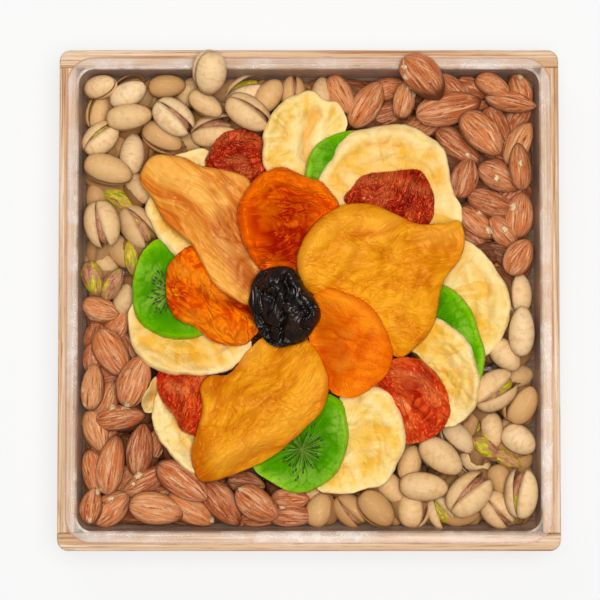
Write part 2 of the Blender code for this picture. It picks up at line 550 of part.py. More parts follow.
class Pile:
    """A height map of what has been laid so far; each new piece comes to rest on it."""

    def __init__(self):
        self.cell = TRAY_SIDE / MAP_CELLS
        self.low = -TRAY_SIDE / 2
        self.height = np.full((MAP_CELLS + 1, MAP_CELLS + 1), -TRAY_SIDE)

    def window(self, made):
        across = [v.co.x for v in made.data.vertices]
        along = [v.co.y for v in made.data.vertices]
        limits = []
        for values in (across, along):
            first = int(math.ceil((min(values) - self.low) / self.cell))
            last = int(math.floor((max(values) - self.low) / self.cell))
            limits.append((max(first, 0), min(last, MAP_CELLS)))
        return limits

    def heights(self, made, from_above):
        """Height of one side of a piece over every cell of its window, nan where it has none."""
        work = bmesh.new()
        work.from_mesh(made.data)
        tree = BVHTree.FromBMesh(work)
        (x0, x1), (y0, y1) = self.window(made)
        found = np.full((x1 - x0 + 1, y1 - y0 + 1), np.nan)
        start = TRAY_SIDE if from_above else -TRAY_SIDE
        down = Vector((0, 0, -1 if from_above else 1))
        for i in range(x0, x1 + 1):
            x = self.low + i * self.cell
            for j in range(y0, y1 + 1):
                hit = tree.ray_cast(Vector((x, self.low + j * self.cell, start)), down)
                if hit[0] is not None:
                    found[i - x0, j - y0] = hit[0].z
        work.free()
        return found

    def spread(self, x0, x1, y0, y1):
        """Greatest height among a cell and its neighbours."""
        padded = np.pad(self.height, 1, constant_values=-TRAY_SIDE)
        shape = self.height.shape
        widest = np.max([padded[a:a + shape[0], b:b + shape[1]] for a in range(3) for b in range(3)], axis=0)
        return widest[x0:x1 + 1, y0:y1 + 1]

    def add(self, made):
        (x0, x1), (y0, y1) = self.window(made)
        top = self.heights(made, True)
        part = self.height[x0:x1 + 1, y0:y1 + 1]
        self.height[x0:x1 + 1, y0:y1 + 1] = np.where(np.isnan(top), part, np.fmax(part, top))

    def rest(self, made):
        """Lowers or raises a nut until it clears what lies beneath by the gap, then adds it."""
        (x0, x1), (y0, y1) = self.window(made)
        under = self.heights(made, False)
        room = self.spread(x0, x1, y0, y1) - under
        lift = np.nanmax(room) + PILE_GAP
        made.data.transform(Matrix.Translation((0, 0, lift)))
        self.add(made)

    def support(self, points):
        """Height of the pile beneath each point."""
        across = np.clip(np.rint((points[:, 0] - self.low) / self.cell).astype(int), 0, MAP_CELLS)
        along = np.clip(np.rint((points[:, 1] - self.low) / self.cell).astype(int), 0, MAP_CELLS)
        return self.height[across, along]


def build_loose_nut(pile, row, colours):
    name, x, y, heading, pitch, roll, length, width, opening = row
    kind = name.split("_")[0]
    shares, size = nut_sizes(kind, length, width)
    vertices, faces = nut_parts(shares, size, NUT_SIDES)
    nut = face_outward(add_object(name, vertices, faces, colours[kind], 0.5))
    if opening is not None:
        blade = (size[0] * SLIT_LENGTH_SHARE, SLIT_WIDTH, size[2] * SLIT_DEPTH_SHARE)
        vertices, faces = nut_parts(SLIT_SHARES, blade, NUT_SIDES)
        along, above = SLIT_PLACE_SHARES
        offset = Vector((size[0] * along, 0, size[2] * above))
        tool = face_outward(add_object("slit", [v + offset for v in vertices], faces))
        tool.data.transform(Matrix.Rotation(math.radians(opening), 4, "X"))
        combine(nut, [tool], "DIFFERENCE")
    turn = (Matrix.Rotation(math.radians(heading), 4, "Z") @ Matrix.Rotation(math.radians(pitch), 4, "Y")
            @ Matrix.Rotation(math.radians(roll), 4, "X"))
    nut.data.transform(Matrix.Translation((x * STEP, y * STEP, 0)) @ turn)
    pile.rest(nut)
    return nut


def smooth_outline(points, count):
    """Passes a smooth closed curve through the points and divides it evenly."""
    size = len(points)
    fine = []
    for i in range(size):
        a, b, c, d = (points[(i + k) % size] for k in (-1, 0, 1, 2))
        for k in range(CURVE_STEPS):
            t = k / CURVE_STEPS
            fine.append(0.5 * ((2 * b) + (c - a) * t + (2 * a - 5 * b + 4 * c - d) * t ** 2
                               + (3 * b - a - 3 * c + d) * t ** 3))
    fine = np.array(fine)
    steps = np.linalg.norm(np.roll(fine, -1, axis=0) - fine, axis=1)
    along = np.concatenate(([0], np.cumsum(steps)))
    closed = np.vstack((fine, fine[:1]))
    marks = np.arange(count) / count * along[-1]
    return np.column_stack([np.interp(marks, along, closed[:, axis]) for axis in (0, 1)])


def drape(pile, middle, edge):
    """A gently bent surface laid over the top of the pile inside an outline."""
    spots = np.vstack([middle + (edge - middle) * reach for reach in np.linspace(0.05, 1, SAMPLE_RINGS)])
    heights = pile.support(spots)
    reach = np.abs(edge - middle).max()
    local = (spots - middle) / reach
    flat = np.column_stack((np.ones(len(local)), local))
    bent = local ** 2
    tilt, bend = np.zeros(3), np.zeros(2)
    weights = np.ones(len(local))
    for _ in range(FITTING_ROUNDS):
        tilt = np.linalg.lstsq(flat * weights[:, None], (heights - bent @ bend) * weights, rcond=None)[0]
        tilt[1:] = np.clip(tilt[1:], -TILT_SHARE * reach, TILT_SHARE * reach)
        bend = np.linalg.lstsq(bent * weights[:, None], (heights - flat @ tilt) * weights, rcond=None)[0]
        bend = np.clip(bend, -BEND_SHARE * reach, BEND_SHARE * reach / 2)
        weights = np.where(heights > flat @ tilt + bent @ bend, BEARING_WEIGHT, 1.0)

    def height(spot):
        u, v = (spot - middle) / reach
        return float(tilt @ np.array((1, u, v)) + bend @ np.array((u * u, v * v)))
    return height


def fan(rings, count):
    """Triangles of a disc of rings about a middle point."""
    faces = [(0, 1 + i, 1 + (i + 1) % count) for i in range(count)]
    for ring in range(rings - 1):
        start = 1 + ring * count
        for i in range(count):
            a, b = start + i, start + (i + 1) % count
            faces += [(a, a + count, b + count), (a, b + count, b)]
    return faces


def press(pile, spots, faces, heights):
    """Raises the points of an underside until every triangle of it clears the pile."""
    spread = pile.spread(0, MAP_CELLS, 0, MAP_CELLS)
    corners, shares, floor = [], [], []
    for face in faces:
        a, b, c = (spots[i] for i in face)
        low = np.ceil((np.min((a, b, c), axis=0) - pile.low) / pile.cell).astype(int)
        high = np.floor((np.max((a, b, c), axis=0) - pile.low) / pile.cell).astype(int)
        i, j = np.meshgrid(np.arange(low[0], high[0] + 1), np.arange(low[1], high[1] + 1), indexing="ij")
        i, j = i.ravel(), j.ravel()
        x, y = pile.low + i * pile.cell - a[0], pile.low + j * pile.cell - a[1]
        area = (b[0] - a[0]) * (c[1] - a[1]) - (b[1] - a[1]) * (c[0] - a[0])
        second = (x * (c[1] - a[1]) - y * (c[0] - a[0])) / area
        third = ((b[0] - a[0]) * y - (b[1] - a[1]) * x) / area
        inside = (second >= 0) & (third >= 0) & (second + third <= 1)
        i, j, second, third = i[inside], j[inside], second[inside], third[inside]
        corners.append(np.tile(face, (len(i), 1)))
        shares.append(np.column_stack((1 - second - third, second, third)))
        floor.append(spread[i, j] + PILE_GAP)
    corners, shares, floor = np.vstack(corners), np.vstack(shares), np.concatenate(floor)
    for _ in range(LIFTING_ROUNDS):
        short = floor - (heights[corners] * shares).sum(axis=1)
        if short.max() <= 0:
            break
        push = np.clip(short, 0, None)[:, None] * shares / (shares ** 2).sum(axis=1)[:, None]
        raised = np.zeros(len(heights))
        np.maximum.at(raised, corners.ravel(), push.ravel())
        heights = heights + raised
    short = floor - (heights[corners] * shares).sum(axis=1)
    return heights + short.max()


def even(heights, faces):
    """Raises points that lie lower than their neighbours, as a skin too stiff for narrow dents would."""
    corners = np.array(faces)
    starts = corners[:, (0, 0, 1, 1, 2, 2)].ravel()
    ends = corners[:, (1, 2, 0, 2, 0, 1)].ravel()
    meets = np.bincount(starts, minlength=len(heights))
    for _ in range(EVENING_ROUNDS):
        mean = np.bincount(starts, weights=heights[ends], minlength=len(heights)) / meets
        heights = np.maximum(heights, mean)
    return heights


def build_fruit(pile, name, kind, outline):
    thick, profile, colour = FRUIT_KINDS[kind]
    count, rings = FRUIT_SIDES, len(profile) - 1
    edge = smooth_outline(np.array(outline, dtype=float) * STEP, count)
    middle = edge.mean(axis=0)
    height = drape(pile, middle, edge)
    spots = np.vstack([middle[None]] + [middle + (edge - middle) * reach for reach, _ in profile[1:]])
    rise = np.concatenate(([profile[0][1]], np.repeat([rise for _, rise in profile[1:]], count))) * thick
    base = np.array([height(spot) for spot in spots])
    faces = fan(rings, count)
    rim = len(spots) - count
    under = base.copy()
    under[rim:] += rise[rim:]
    pressed = even(press(pile, spots, faces, under), faces)
    over = np.maximum(base + rise, pressed + rise * THINNEST_SHARE)
    over[rim:] = pressed[rim:]
    vertices = [Vector((*spot, z)) for spot, z in zip(spots, over)]
    vertices += [Vector((*spot, z)) for spot, z in zip(spots[:rim], pressed)]
    shift = len(spots)
    below = [tuple(i if i >= rim else i + shift for i in reversed(face)) for face in faces]
    fruit = face_outward(add_object(name, vertices, faces + below, colour, 0.4))
    pile.add(fruit)
    return fruit


def main():
    for old in list(bpy.data.objects):
        bpy.data.objects.remove(old)
    rails = build_rails()
    liner = build_liner()
    pistachio, almond = (0.76, 0.58, 0.38), (0.46, 0.20, 0.09)
    heaps = [
        build_heap("pistachio_heap_back_left", "pistachio", -1, 1, BACK_LEFT_SHARES, pistachio),
        build_heap("almond_heap_back_right", "almond", 1, 1, BACK_RIGHT_SHARES, almond),
        build_heap("pistachio_heap_front_right", "pistachio", 1, -1, FRONT_RIGHT_SHARES, pistachio),
        build_heap("almond_heap_front_left", "almond", -1, -1, FRONT_LEFT_SHARES, almond),
    ]
    pile = Pile()
    for made in rails + [liner] + heaps:
        pile.add(made)
    for row in LOOSE_SHARES:
        build_loose_nut(pile, row, {"pistachio": pistachio, "almond": almond})
    for name, kind, outline in FRUIT_SHARES:
        build_fruit(pile, name, kind, outline)
    for made in bpy.data.objects:
        made.data.shade_smooth()
        made.data.set_sharp_from_angle(angle=SHARP_ANGLE)


main()
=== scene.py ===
"""Looks of the fruit and nut gift tray: wood, clear liner, nuts and dried fruit round the CAD model."""

import math
import random

import bpy
import numpy as np
from mathutils import Matrix, Vector
from mathutils.bvhtree import BVHTree


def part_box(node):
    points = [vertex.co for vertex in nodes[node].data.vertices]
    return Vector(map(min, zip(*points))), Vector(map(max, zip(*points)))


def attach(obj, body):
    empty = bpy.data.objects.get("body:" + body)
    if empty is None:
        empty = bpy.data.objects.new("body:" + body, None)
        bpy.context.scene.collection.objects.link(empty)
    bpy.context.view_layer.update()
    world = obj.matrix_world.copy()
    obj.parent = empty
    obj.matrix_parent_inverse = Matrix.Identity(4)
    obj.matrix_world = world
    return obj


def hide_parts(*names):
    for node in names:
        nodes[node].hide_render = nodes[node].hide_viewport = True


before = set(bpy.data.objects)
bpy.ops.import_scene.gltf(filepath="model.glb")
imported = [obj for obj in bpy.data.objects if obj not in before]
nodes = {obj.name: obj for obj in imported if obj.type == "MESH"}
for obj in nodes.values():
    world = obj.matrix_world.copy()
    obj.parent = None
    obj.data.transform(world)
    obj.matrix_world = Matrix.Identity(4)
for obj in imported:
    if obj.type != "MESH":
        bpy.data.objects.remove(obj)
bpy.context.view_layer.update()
dice = random.Random(7)

# Sizes that the CAD model has too, in metres
MM = 0.001
TRAY_SIDE = 0.2286
RAIL_THICK = 0.008
RAIL_HEIGHT = 0.038
LINER_WALL = 0.0006
LINER_GAP = 0.0003
LINER_SLACK = 0.0004
LINER_CORNER = 0.0075
LINER_FOOT = 0.003
LINER_LIP = 0.0008
FLANGE_REACH = 0.0044
FLANGE_CORNER = 0.012
FLOOR_UNDER = 0.0065
HEAP_TOP = 0.0229
PIXELS_ACROSS = 500
STEP = TRAY_SIDE / PIXELS_ACROSS
INSIDE = TRAY_SIDE / 2 - RAIL_THICK
WALL_TOP = INSIDE - LINER_SLACK
FLANGE_UNDER = RAIL_HEIGHT + LINER_GAP
WALL_LEAN = math.tan(math.radians(5))

# The photograph's own camera: where it stands, how far it tips, and its focal length in pixels
CAMERA_PLACE = Vector((-0.0041, -0.040, 0.918))
CAMERA_TIP = math.radians(2.575)
CAMERA_FOCUS = 1933.0
PICTURE = 600
SENSOR = 36

# Heights from which rays are cast: down at a fruit, down at a heap, and up
ABOVE = 0.2
HEAP_RAY = 0.1
BELOW = -0.1


def rgb(red, green, blue):
    """A colour given as it looks on a screen."""
    parts = [value / 255 for value in (red, green, blue)]
    return tuple(((p + 0.055) / 1.055) ** 2.4 if p > 0.04045 else p / 12.92 for p in parts) + (1.0,)


def spot(x, y, z):
    """The place at height z that the camera sees at a pixel of the photograph."""
    ray = Vector(((x - PICTURE / 2) / CAMERA_FOCUS, (PICTURE / 2 - y) / CAMERA_FOCUS, -1))
    ray = Matrix.Rotation(CAMERA_TIP, 3, "X") @ ray
    return CAMERA_PLACE + ray * ((z - CAMERA_PLACE.z) / ray.z)


def seen(points):
    """Pixels of the photograph at which the camera sees points."""
    local = (points - np.array(CAMERA_PLACE)) @ np.array(Matrix.Rotation(CAMERA_TIP, 3, "X"))
    return np.column_stack((PICTURE / 2 - CAMERA_FOCUS * local[:, 0] / local[:, 2],
                            PICTURE / 2 + CAMERA_FOCUS * local[:, 1] / local[:, 2]))


# Large odd numbers that scatter the cells of the noise
SCATTER = np.array((374761393, 668265263, 1440662683))
SCATTER_MORE = 1274126177


def noise(points, seed=0):
    """Smooth noise from -1 to 1 at points, one cell to a unit."""
    base = np.floor(points).astype(np.int64)
    part = points - base
    part = part * part * (3 - 2 * part)
    total = np.zeros(len(points))
    for corner in range(8):
        bits = np.array([corner & 1, corner >> 1 & 1, corner >> 2 & 1])
        mix = ((base + bits) @ SCATTER + seed * SCATTER_MORE) & 0xffffffff
        mix = ((mix ^ (mix >> 13)) * SCATTER_MORE) & 0xffffffff
        mix = ((mix ^ (mix >> 16)) & 0xffff) / 32767.5 - 1
        total += mix * np.prod(np.where(bits, part, 1 - part), axis=1)
    return total


def rough_noise(points, octaves=3, seed=0):
    """Noise with finer and fainter noise added to it."""
    return sum(noise(points * 2 ** octave + 17.3 * octave, seed + octave) / 2 ** octave
               for octave in range(octaves))


def ridges(points, octaves=2, seed=0):
    """Sharp creases in a net, 0 between them and 1 along them."""
    total = 0
    for octave in range(octaves):
        line = 1 - np.abs(noise(points * 1.9 ** octave + 9.1 * octave, seed + octave)) * 2.2
        total = total + np.clip(line, 0, 1) ** 2 / 2 ** octave
    return total


def moved(points, place):
    """Points turned and shifted by a matrix."""
    return points @ np.array(place.to_3x3()).T + np.array(place.translation)


def solid_tree(node):
    """A CAD solid's surface, for rays."""
    mesh = node.data
    return BVHTree.FromPolygons([v.co for v in mesh.vertices], [tuple(p.vertices) for p in mesh.polygons])


def cast(tree, x, y, start=ABOVE):
    """Where a ray from a height above or below the tray meets the surface, or None."""
    return tree.ray_cast(Vector((x, y, start)), Vector((0, 0, -1 if start > 0 else 1)))[0]


def in_scene(name, data):
    """A new object that holds data, linked into the scene."""
    made = bpy.data.objects.new(name, data)
    bpy.context.scene.collection.objects.link(made)
    return made


class Paint:
    """One node material. Its colour is laid on in layers, each over the base that the last one left."""

    def __init__(self, name, gloss=0.5, tint=(255, 255, 255), **fixed):
        self.material = bpy.data.materials.new(name)
        self.material.use_nodes = True
        self.tree = self.material.node_tree
        self.shader = self.tree.nodes["Principled BSDF"]
        self.base = None
        fixed.update(Specular_IOR_Level=gloss, Specular_Tint=rgb(*tint))
        for key, value in fixed.items():
            self.shader.inputs[key.replace("_", " ")].default_value = value

    def node(self, kind, inputs=(), out=0, **settings):
        made = self.tree.nodes.new("ShaderNode" + kind)
        for key, value in settings.items():
            setattr(made, key, value)
        for key, value in dict(inputs).items():
            if isinstance(value, bpy.types.NodeSocket):
                self.tree.links.new(value, made.inputs[key])
            else:
                made.inputs[key].default_value = value
        return made.outputs[out]

    def place(self, scale=(1, 1, 1), attribute=None):
        """Coordinates at a scale: the object's own, or those kept in an attribute."""
        source = (self.node("Attribute", out="Vector", attribute_name=attribute) if attribute
                  else self.node("TexCoord", out="Object"))
        return self.node("Mapping", {"Vector": source, "Scale": scale})

    def value(self, attribute):
        return self.node("Attribute", out="Fac", attribute_name=attribute)

    def noise(self, place, scale, detail=3, rough=0.55, bend=0):
        return self.node("TexNoise", {"Vector": place, "Scale": scale, "Detail": detail,
                                      "Roughness": rough, "Distortion": bend})

    def grain(self, scale, *form):
        """Noise in a nut's own coordinates, stretched by its scale."""
        return self.noise(self.place(scale, "grain"), 1, *form)

    def cells(self, place, scale):
        return self.node("TexVoronoi", {"Vector": place, "Scale": scale}, out="Distance", feature="F1")

    def puffs(self, place, scale, bend):
        """Rounded swellings, 0 in the sharp creases between them."""
        line = self.sum(self.noise(place, scale, 1, 0.5, bend), 0.5, "SUBTRACT")
        return self.span(self.sum(line, 0, "ABSOLUTE"), 0, 0.17)

    def span(self, value, low, high, to_low=0, to_high=1):
        return self.node("MapRange", {"Value": value, "From Min": low, "From Max": high,
                                      "To Min": to_low, "To Max": to_high}, interpolation_type="SMOOTHSTEP")

    def sum(self, one, two, kind="ADD"):
        return self.node("Math", {0: one, 1: two}, operation=kind)

    def times(self, one, two):
        return self.sum(one, two, "MULTIPLY")

    def mix(self, share, one, two):
        return self.node("Mix", {0: share, 6: one, 7: two}, out=2, data_type="RGBA", blend_type="MIX")

    def ramp(self, value, *stops):
        """Starts the base with a ramp whose stops are a place and a colour."""
        made = self.tree.nodes.new("ShaderNodeValToRGB")
        self.tree.links.new(value, made.inputs[0])
        parts = made.color_ramp.elements
        while len(parts) < len(stops):
            parts.new(0.5)
        for part, (place, *_) in zip(parts, stops):
            part.position = place
        for part, (_, *colour) in zip(parts, stops):
            part.color = rgb(*colour)
        self.base = made.outputs[0]

    def blend(self, share, colour):
        self.base = self.mix(share, self.base, rgb(*colour))

    def layer(self, value, spread, colour):
        """Lays on a colour where a value runs through a spread: from, to and the shares at both ends."""
        self.blend(self.span(value, *spread), colour)

    def bump(self, height, depth, strength=1):
        return self.node("Bump", {"Height": height, "Distance": depth, "Strength": strength})

    def use(self, **links):
        for key, value in links.items():
            self.tree.links.new(value, self.shader.inputs[key.replace("_", " ")])
        return self.material

    def finish(self, gloss, rough, height, depth, strength=1):
        """Puts on the base, a roughness that varies with one value, and bumps that follow another."""
        return self.use(Base_Color=self.base, Roughness=self.span(gloss, 0.3, 0.7, *rough),
                        Normal=self.bump(height, depth, strength))


def wood(name, along, dark=1.0):
    """Pale bare wood whose grain runs along one axis."""
    make = Paint(name, 0.2)

    def stretched(across, length, *form):
        scale = [across] * 3
        scale[along] = length
        return make.noise(make.place(scale), 1, *form)

    def shade(*colour):
        return [part * dark for part in colour]

    fibres = stretched(950, 14, 4, 0.65, 0.1)
    pore = make.span(stretched(1500, 70, 2), 0.6, 0.7)
    make.ramp(stretched(190, 4, 3, 0.55, 0.4), (0.3, *shade(198, 150, 106)), (0.5, *shade(220, 183, 146)),
              (0.66, *shade(238, 210, 182)))
    make.layer(fibres, (0.51, 0.66, 0, 0.9), shade(172, 117, 74))
    make.layer(fibres, (0.47, 0.32, 0, 0.8), shade(244, 223, 198))
    make.blend(make.times(pore, 0.4), (150, 98, 62))
    return make.finish(fibres, (0.62, 0.78), make.sum(fibres, make.times(pore, -0.5)), 0.0003, 0.8)


def clear_plastic():
    """Clear moulded sheet. One point value says how much white it lays over what lies behind, a little haze
    and mostly painted highlights and reflections; the value edge says how much painted brown it shows, a
    reflection of wood and nuts on the walls and a darker line at its cut edge.
    """
    make = Paint("liner_sheet_paint", 0.3, Roughness=0.1, IOR=1.5)
    haze = make.noise(make.place((26, 26, 26)), 1, 3, 0.5, 0.8)
    fine = make.noise(make.place((150, 150, 40)), 1, 3, 0.6, 0.4)
    edge = make.value("edge")
    # White that the sheet lays on: a little haze and mostly painted highlights and reflections
    make.base = make.mix(make.span(haze, 0.35, 0.6), rgb(246, 228, 210), rgb(255, 247, 238))
    # Painted brown: a reflection of the wood and nuts on the walls, and a darker line at the cut edge
    make.blend(edge, (200, 134, 86))
    # How much it veils, streaked by noise as painted reflections are
    cloudy = make.times(make.span(haze, 0.38, 0.62, 0.55, 1.25), make.span(fine, 0.35, 0.65, 0.7, 1.25))
    alpha = make.sum(make.times(make.value("veil_and_sheen"), cloudy), make.times(edge, 0.5))
    return make.use(Base_Color=make.base, Alpha=alpha, Normal=make.bump(haze, 0.0004, 0.3))


def shell_paint():
    """Pistachio shell: pale, matt, faintly streaked, browner towards its rim, and darker with painted shade
    down its sides and where it lies deep.
    """
    make = Paint("pistachio_shell_paint", 0.22, (255, 236, 206))
    grain = make.grain((2.2, 9, 9), 4, 0.6, 0.3)
    # Tone differs from nut to nut; its darkest stops also serve as painted shade on sunk and hidden nuts
    make.ramp(make.value("tone"), (0, 176, 124, 70), (0.35, 222, 176, 118), (0.7, 238, 200, 148),
              (1, 246, 219, 176))
    make.layer(make.grain((5, 1.6, 1.6), 2), (0.45, 0.72, 0, 0.5), (212, 156, 92))
    make.layer(grain, (0.56, 0.74, 0, 0.25), (196, 140, 82))
    make.layer(grain, (0.44, 0.28, 0, 0.4), (250, 226, 184))
    # Painted shade down the nut's sides and on deep and hidden nuts
    make.blend(make.times(make.value("side"), 0.8), (106, 62, 24))
    make.blend(make.times(make.value("rim"), make.span(grain, 0.3, 0.7, 0.55, 1.1)), (138, 82, 42))
    make.layer(make.grain((6, 6, 6), 2, 0.7), (0.70, 0.78, 0, 0.35), (166, 112, 66))
    return make.finish(grain, (0.42, 0.58), grain, 0.00018, 0.7)


def kernel_paint():
    """Pistachio kernel: green and yellow, with torn pinkish purple skin, less of it as tone rises."""
    make = Paint("kernel_paint", 0.45, (255, 240, 200))
    grain = make.grain((2.2, 3.4, 3.4), 4, 0.65, 0.8)
    patch = make.grain((1.1, 1.3, 1.3), 4, 0.6, 0.8)
    make.base = make.mix(make.span(grain, 0.4, 0.6), rgb(150, 152, 16), rgb(226, 196, 40))
    make.layer(grain, (0.6, 0.72, 0, 0.6), (240, 226, 140))
    skin = make.mix(make.span(grain, 0.38, 0.62), rgb(206, 146, 108), rgb(150, 84, 60))
    lean = make.sum(patch, make.times(make.value("tone"), -0.3))
    make.base = make.mix(make.span(lean, 0.28, 0.38), make.base, skin)
    make.layer(grain, (0.36, 0.26, 0, 0.6), (104, 62, 30))
    return make.finish(grain, (0.3, 0.5), grain, 0.0007, 0.9)


def almond_paint():
    """Roasted and salted almond skin with lengthwise ridges, salt dust and pale chips, and darker with
    painted shade down its sides and where it lies deep.
    """
    make = Paint("almond_skin_paint", 0.35, (255, 214, 180))
    lines = make.grain((1.2, 7, 7), 4, 0.6, 0.9)
    cloud = make.grain((1.5, 1.5, 1.5), 3, 0.6)
    dust = make.noise(make.place((1300, 1300, 1300)), 1, 2, 0.7)
    # Tone differs from nut to nut; its darkest stops also serve as painted shade on sunk and hidden nuts
    make.ramp(make.value("tone"), (0, 142, 60, 26), (0.4, 188, 94, 46), (0.75, 210, 120, 64),
              (1, 230, 158, 100))
    make.layer(cloud, (0.42, 0.66, 0, 0.5), (226, 146, 92))
    make.layer(make.grain((1.2, 3.6, 3.6), 2, 0.5, 1), (0.5, 0.64, 0, 0.5), (246, 192, 144))
    patchy = make.span(make.noise(make.place((1.6, 2.6, 2.6), "grain"), 1.3, 2), 0.38, 0.62, 0.25, 1)
    make.blend(make.times(make.span(lines, 0.54, 0.64, 0, 0.7), patchy), (248, 198, 152))
    make.blend(make.times(make.span(lines, 0.475, 0.40, 0, 0.95), patchy), (128, 54, 22))
    salt = make.times(make.span(dust, 0.57, 0.66), make.span(cloud, 0.42, 0.62))
    make.blend(make.times(salt, 0.65), (246, 214, 188))
    # Painted shade down the nut's sides and on deep and hidden nuts
    make.blend(make.times(make.value("side"), 0.85), (70, 27, 9))
    ragged = make.span(make.grain((5, 9, 9), 4, 0.7), 0.3, 0.7, -0.3, 0.3)
    torn = make.span(make.sum(make.value("chip"), ragged), 0.5, 0.57)
    make.base = make.mix(torn, make.base, make.mix(lines, rgb(252, 224, 176), rgb(238, 192, 138)))
    height = make.sum(make.sum(lines, torn, "SUBTRACT"), make.times(salt, 0.4))
    return make.finish(lines, (0.32, 0.55), height, 0.0007)


def fruit_paint(name, light, mid, dark, deep_and_shade, pale, tint, rough=(0.3, 0.46), streak=0.7, coarse=80, fine=330,
                folds=500, depth=0.5, bend=1.8, fold_shading=0.25, bump=0.0006, gloss=0.5):
    """Dried fruit flesh. Two point values carry the folds and blushes of each piece: one darkens it, partly
    with its own colour and partly as painted shade in creases and folds, and one pales it, partly with its
    own colour and partly as a painted highlight on swells and raised folds. Streak says how far its wrinkles
    are drawn out, and depth how sharply they crease."""
    make = Paint(name, gloss, tint)
    place = make.place((streak, 1, 1), "flesh")
    wrinkle = make.noise(place, fine, 2, 0.5, bend)
    fold = make.sum(make.times(make.puffs(place, folds, bend), depth), wrinkle)
    whole = 0.5 + depth * 0.45
    make.ramp(make.noise(place, coarse, 3, 0.55, 0.8), (0.36, *dark), (0.5, *mid), (0.64, *light))
    # Crests of the wrinkles are painted lighter and creases darker: painted highlight and shade that follow
    # the bumps
    make.layer(fold, (whole, whole * 1.5, 0, fold_shading), light)
    make.layer(fold, (whole, whole * 0.5, 0, fold_shading), dark)
    vary = make.span(fold, whole * 0.6, whole * 1.4, 1.15, 0.75)
    # Darker where folded and creased and paler on swells: partly the fruit's own colour, partly painted shade
    # and highlight
    make.blend(make.times(make.value("deep_and_shade"), vary), deep_and_shade)
    make.blend(make.times(make.value("pale"), vary), pale)
    speck = make.times(make.noise(place, 1700, 2, 0.6), 0.06)
    return make.finish(wrinkle, rough, make.sum(fold, speck), bump)


def apple_paint():
    """Dried apple: cream flesh with saturated yellow mottles that run out towards the rim."""
    make = Paint("apple_ring_paint", 0.2, (255, 236, 190))
    here = make.place()
    ray = make.noise(make.place((2.4, 2.4, 1.2), "polar"), 1.5, 3, 0.55, 0.5)
    outer = make.span(make.value("reach"), 0.3, 0.62)
    fold = make.noise(here, 150, 2, 0.5, 0.4)
    fine = make.noise(here, 520, 3, 0.6, 0.3)
    make.ramp(make.noise(here, 48, 2, 0.5, 0.3), (0.36, 239, 184, 64), (0.47, 243, 200, 96),
              (0.58, 247, 213, 128), (0.7, 250, 222, 150))
    make.layer(fold, (0.46, 0.34, 0, 0.35), (240, 186, 66))
    make.layer(fold, (0.54, 0.68, 0, 0.4), (252, 226, 162))
    make.blend(make.times(make.span(ray, 0.52, 0.62, 0, 0.65), outer), (237, 174, 36))
    make.blend(make.times(make.span(ray, 0.46, 0.34, 0, 0.5), outer), (251, 225, 160))
    make.layer(fine, (0.54, 0.72, 0, 0.3), (236, 180, 66))
    # Darker in folds and creases and paler on swells and at the rim: partly its own colour, partly painted
    # shade and highlight
    make.blend(make.value("deep_and_shade"), (233, 160, 34))
    make.blend(make.value("pale"), (252, 228, 168))
    height = make.sum(make.times(ray, outer), make.sum(fold, make.times(fine, 0.45)))
    return make.finish(fine, (0.42, 0.56), height, 0.0009, 0.9)


def kiwi_paint():
    """Candied kiwi: green with pale rays, dots and a sunburst of dark bristles about a lighter heart."""
    make = Paint("kiwi_slice_paint", 0.2, (170, 236, 40))
    here, reach = make.place(), make.value("reach")
    ray = make.noise(make.place((9, 9, 1.2), "polar"), 1, 3, 0.6, 0.2)
    dots = make.span(make.cells(here, 650), 0.26, 0.14)
    cloud = make.noise(here, 160, 4, 0.65, 0.5)
    make.ramp(reach, (0, 150, 168, 84), (0.09, 92, 124, 32), (0.24, 50, 100, 2), (0.42, 60, 130, 0),
              (0.7, 70, 144, 0), (0.88, 92, 162, 0), (1, 136, 188, 6))
    make.layer(ray, (0.52, 0.68, 0, 0.4), (110, 174, 8))
    make.layer(cloud, (0.5, 0.72, 0, 0.5), (44, 108, 0))
    make.blend(make.times(dots, 0.35), (150, 204, 40))
    bristle = make.noise(make.place((15, 15, 1.6), "polar"), 1, 2, 0.5, 0.1)
    heart = make.span(reach, 0.54, 0.36)
    make.blend(make.times(make.span(bristle, 0.52, 0.6, 0, 0.32), heart), (172, 196, 100))
    make.blend(make.times(make.span(bristle, 0.48, 0.4, 0, 0.75), heart), (26, 42, 6))
    # Darker in creases as painted shade, paler on swells as painted highlight
    make.blend(make.value("deep_and_shade"), (26, 60, 2))
    make.blend(make.value("pale"), (180, 214, 80))
    height = make.sum(make.sum(ray, cloud), make.times(dots, 0.8))
    return make.finish(cloud, (0.26, 0.42), height, 0.0005, 0.9)


def seed_paint():
    """Nearly black seed."""
    make = Paint("kiwi_seed_paint")
    grain = make.noise(make.place(), 900)
    return make.use(Base_Color=make.mix(grain, rgb(24, 14, 8), rgb(52, 34, 20)),
                    Roughness=make.span(grain, 0.3, 0.7, 0.3, 0.5))


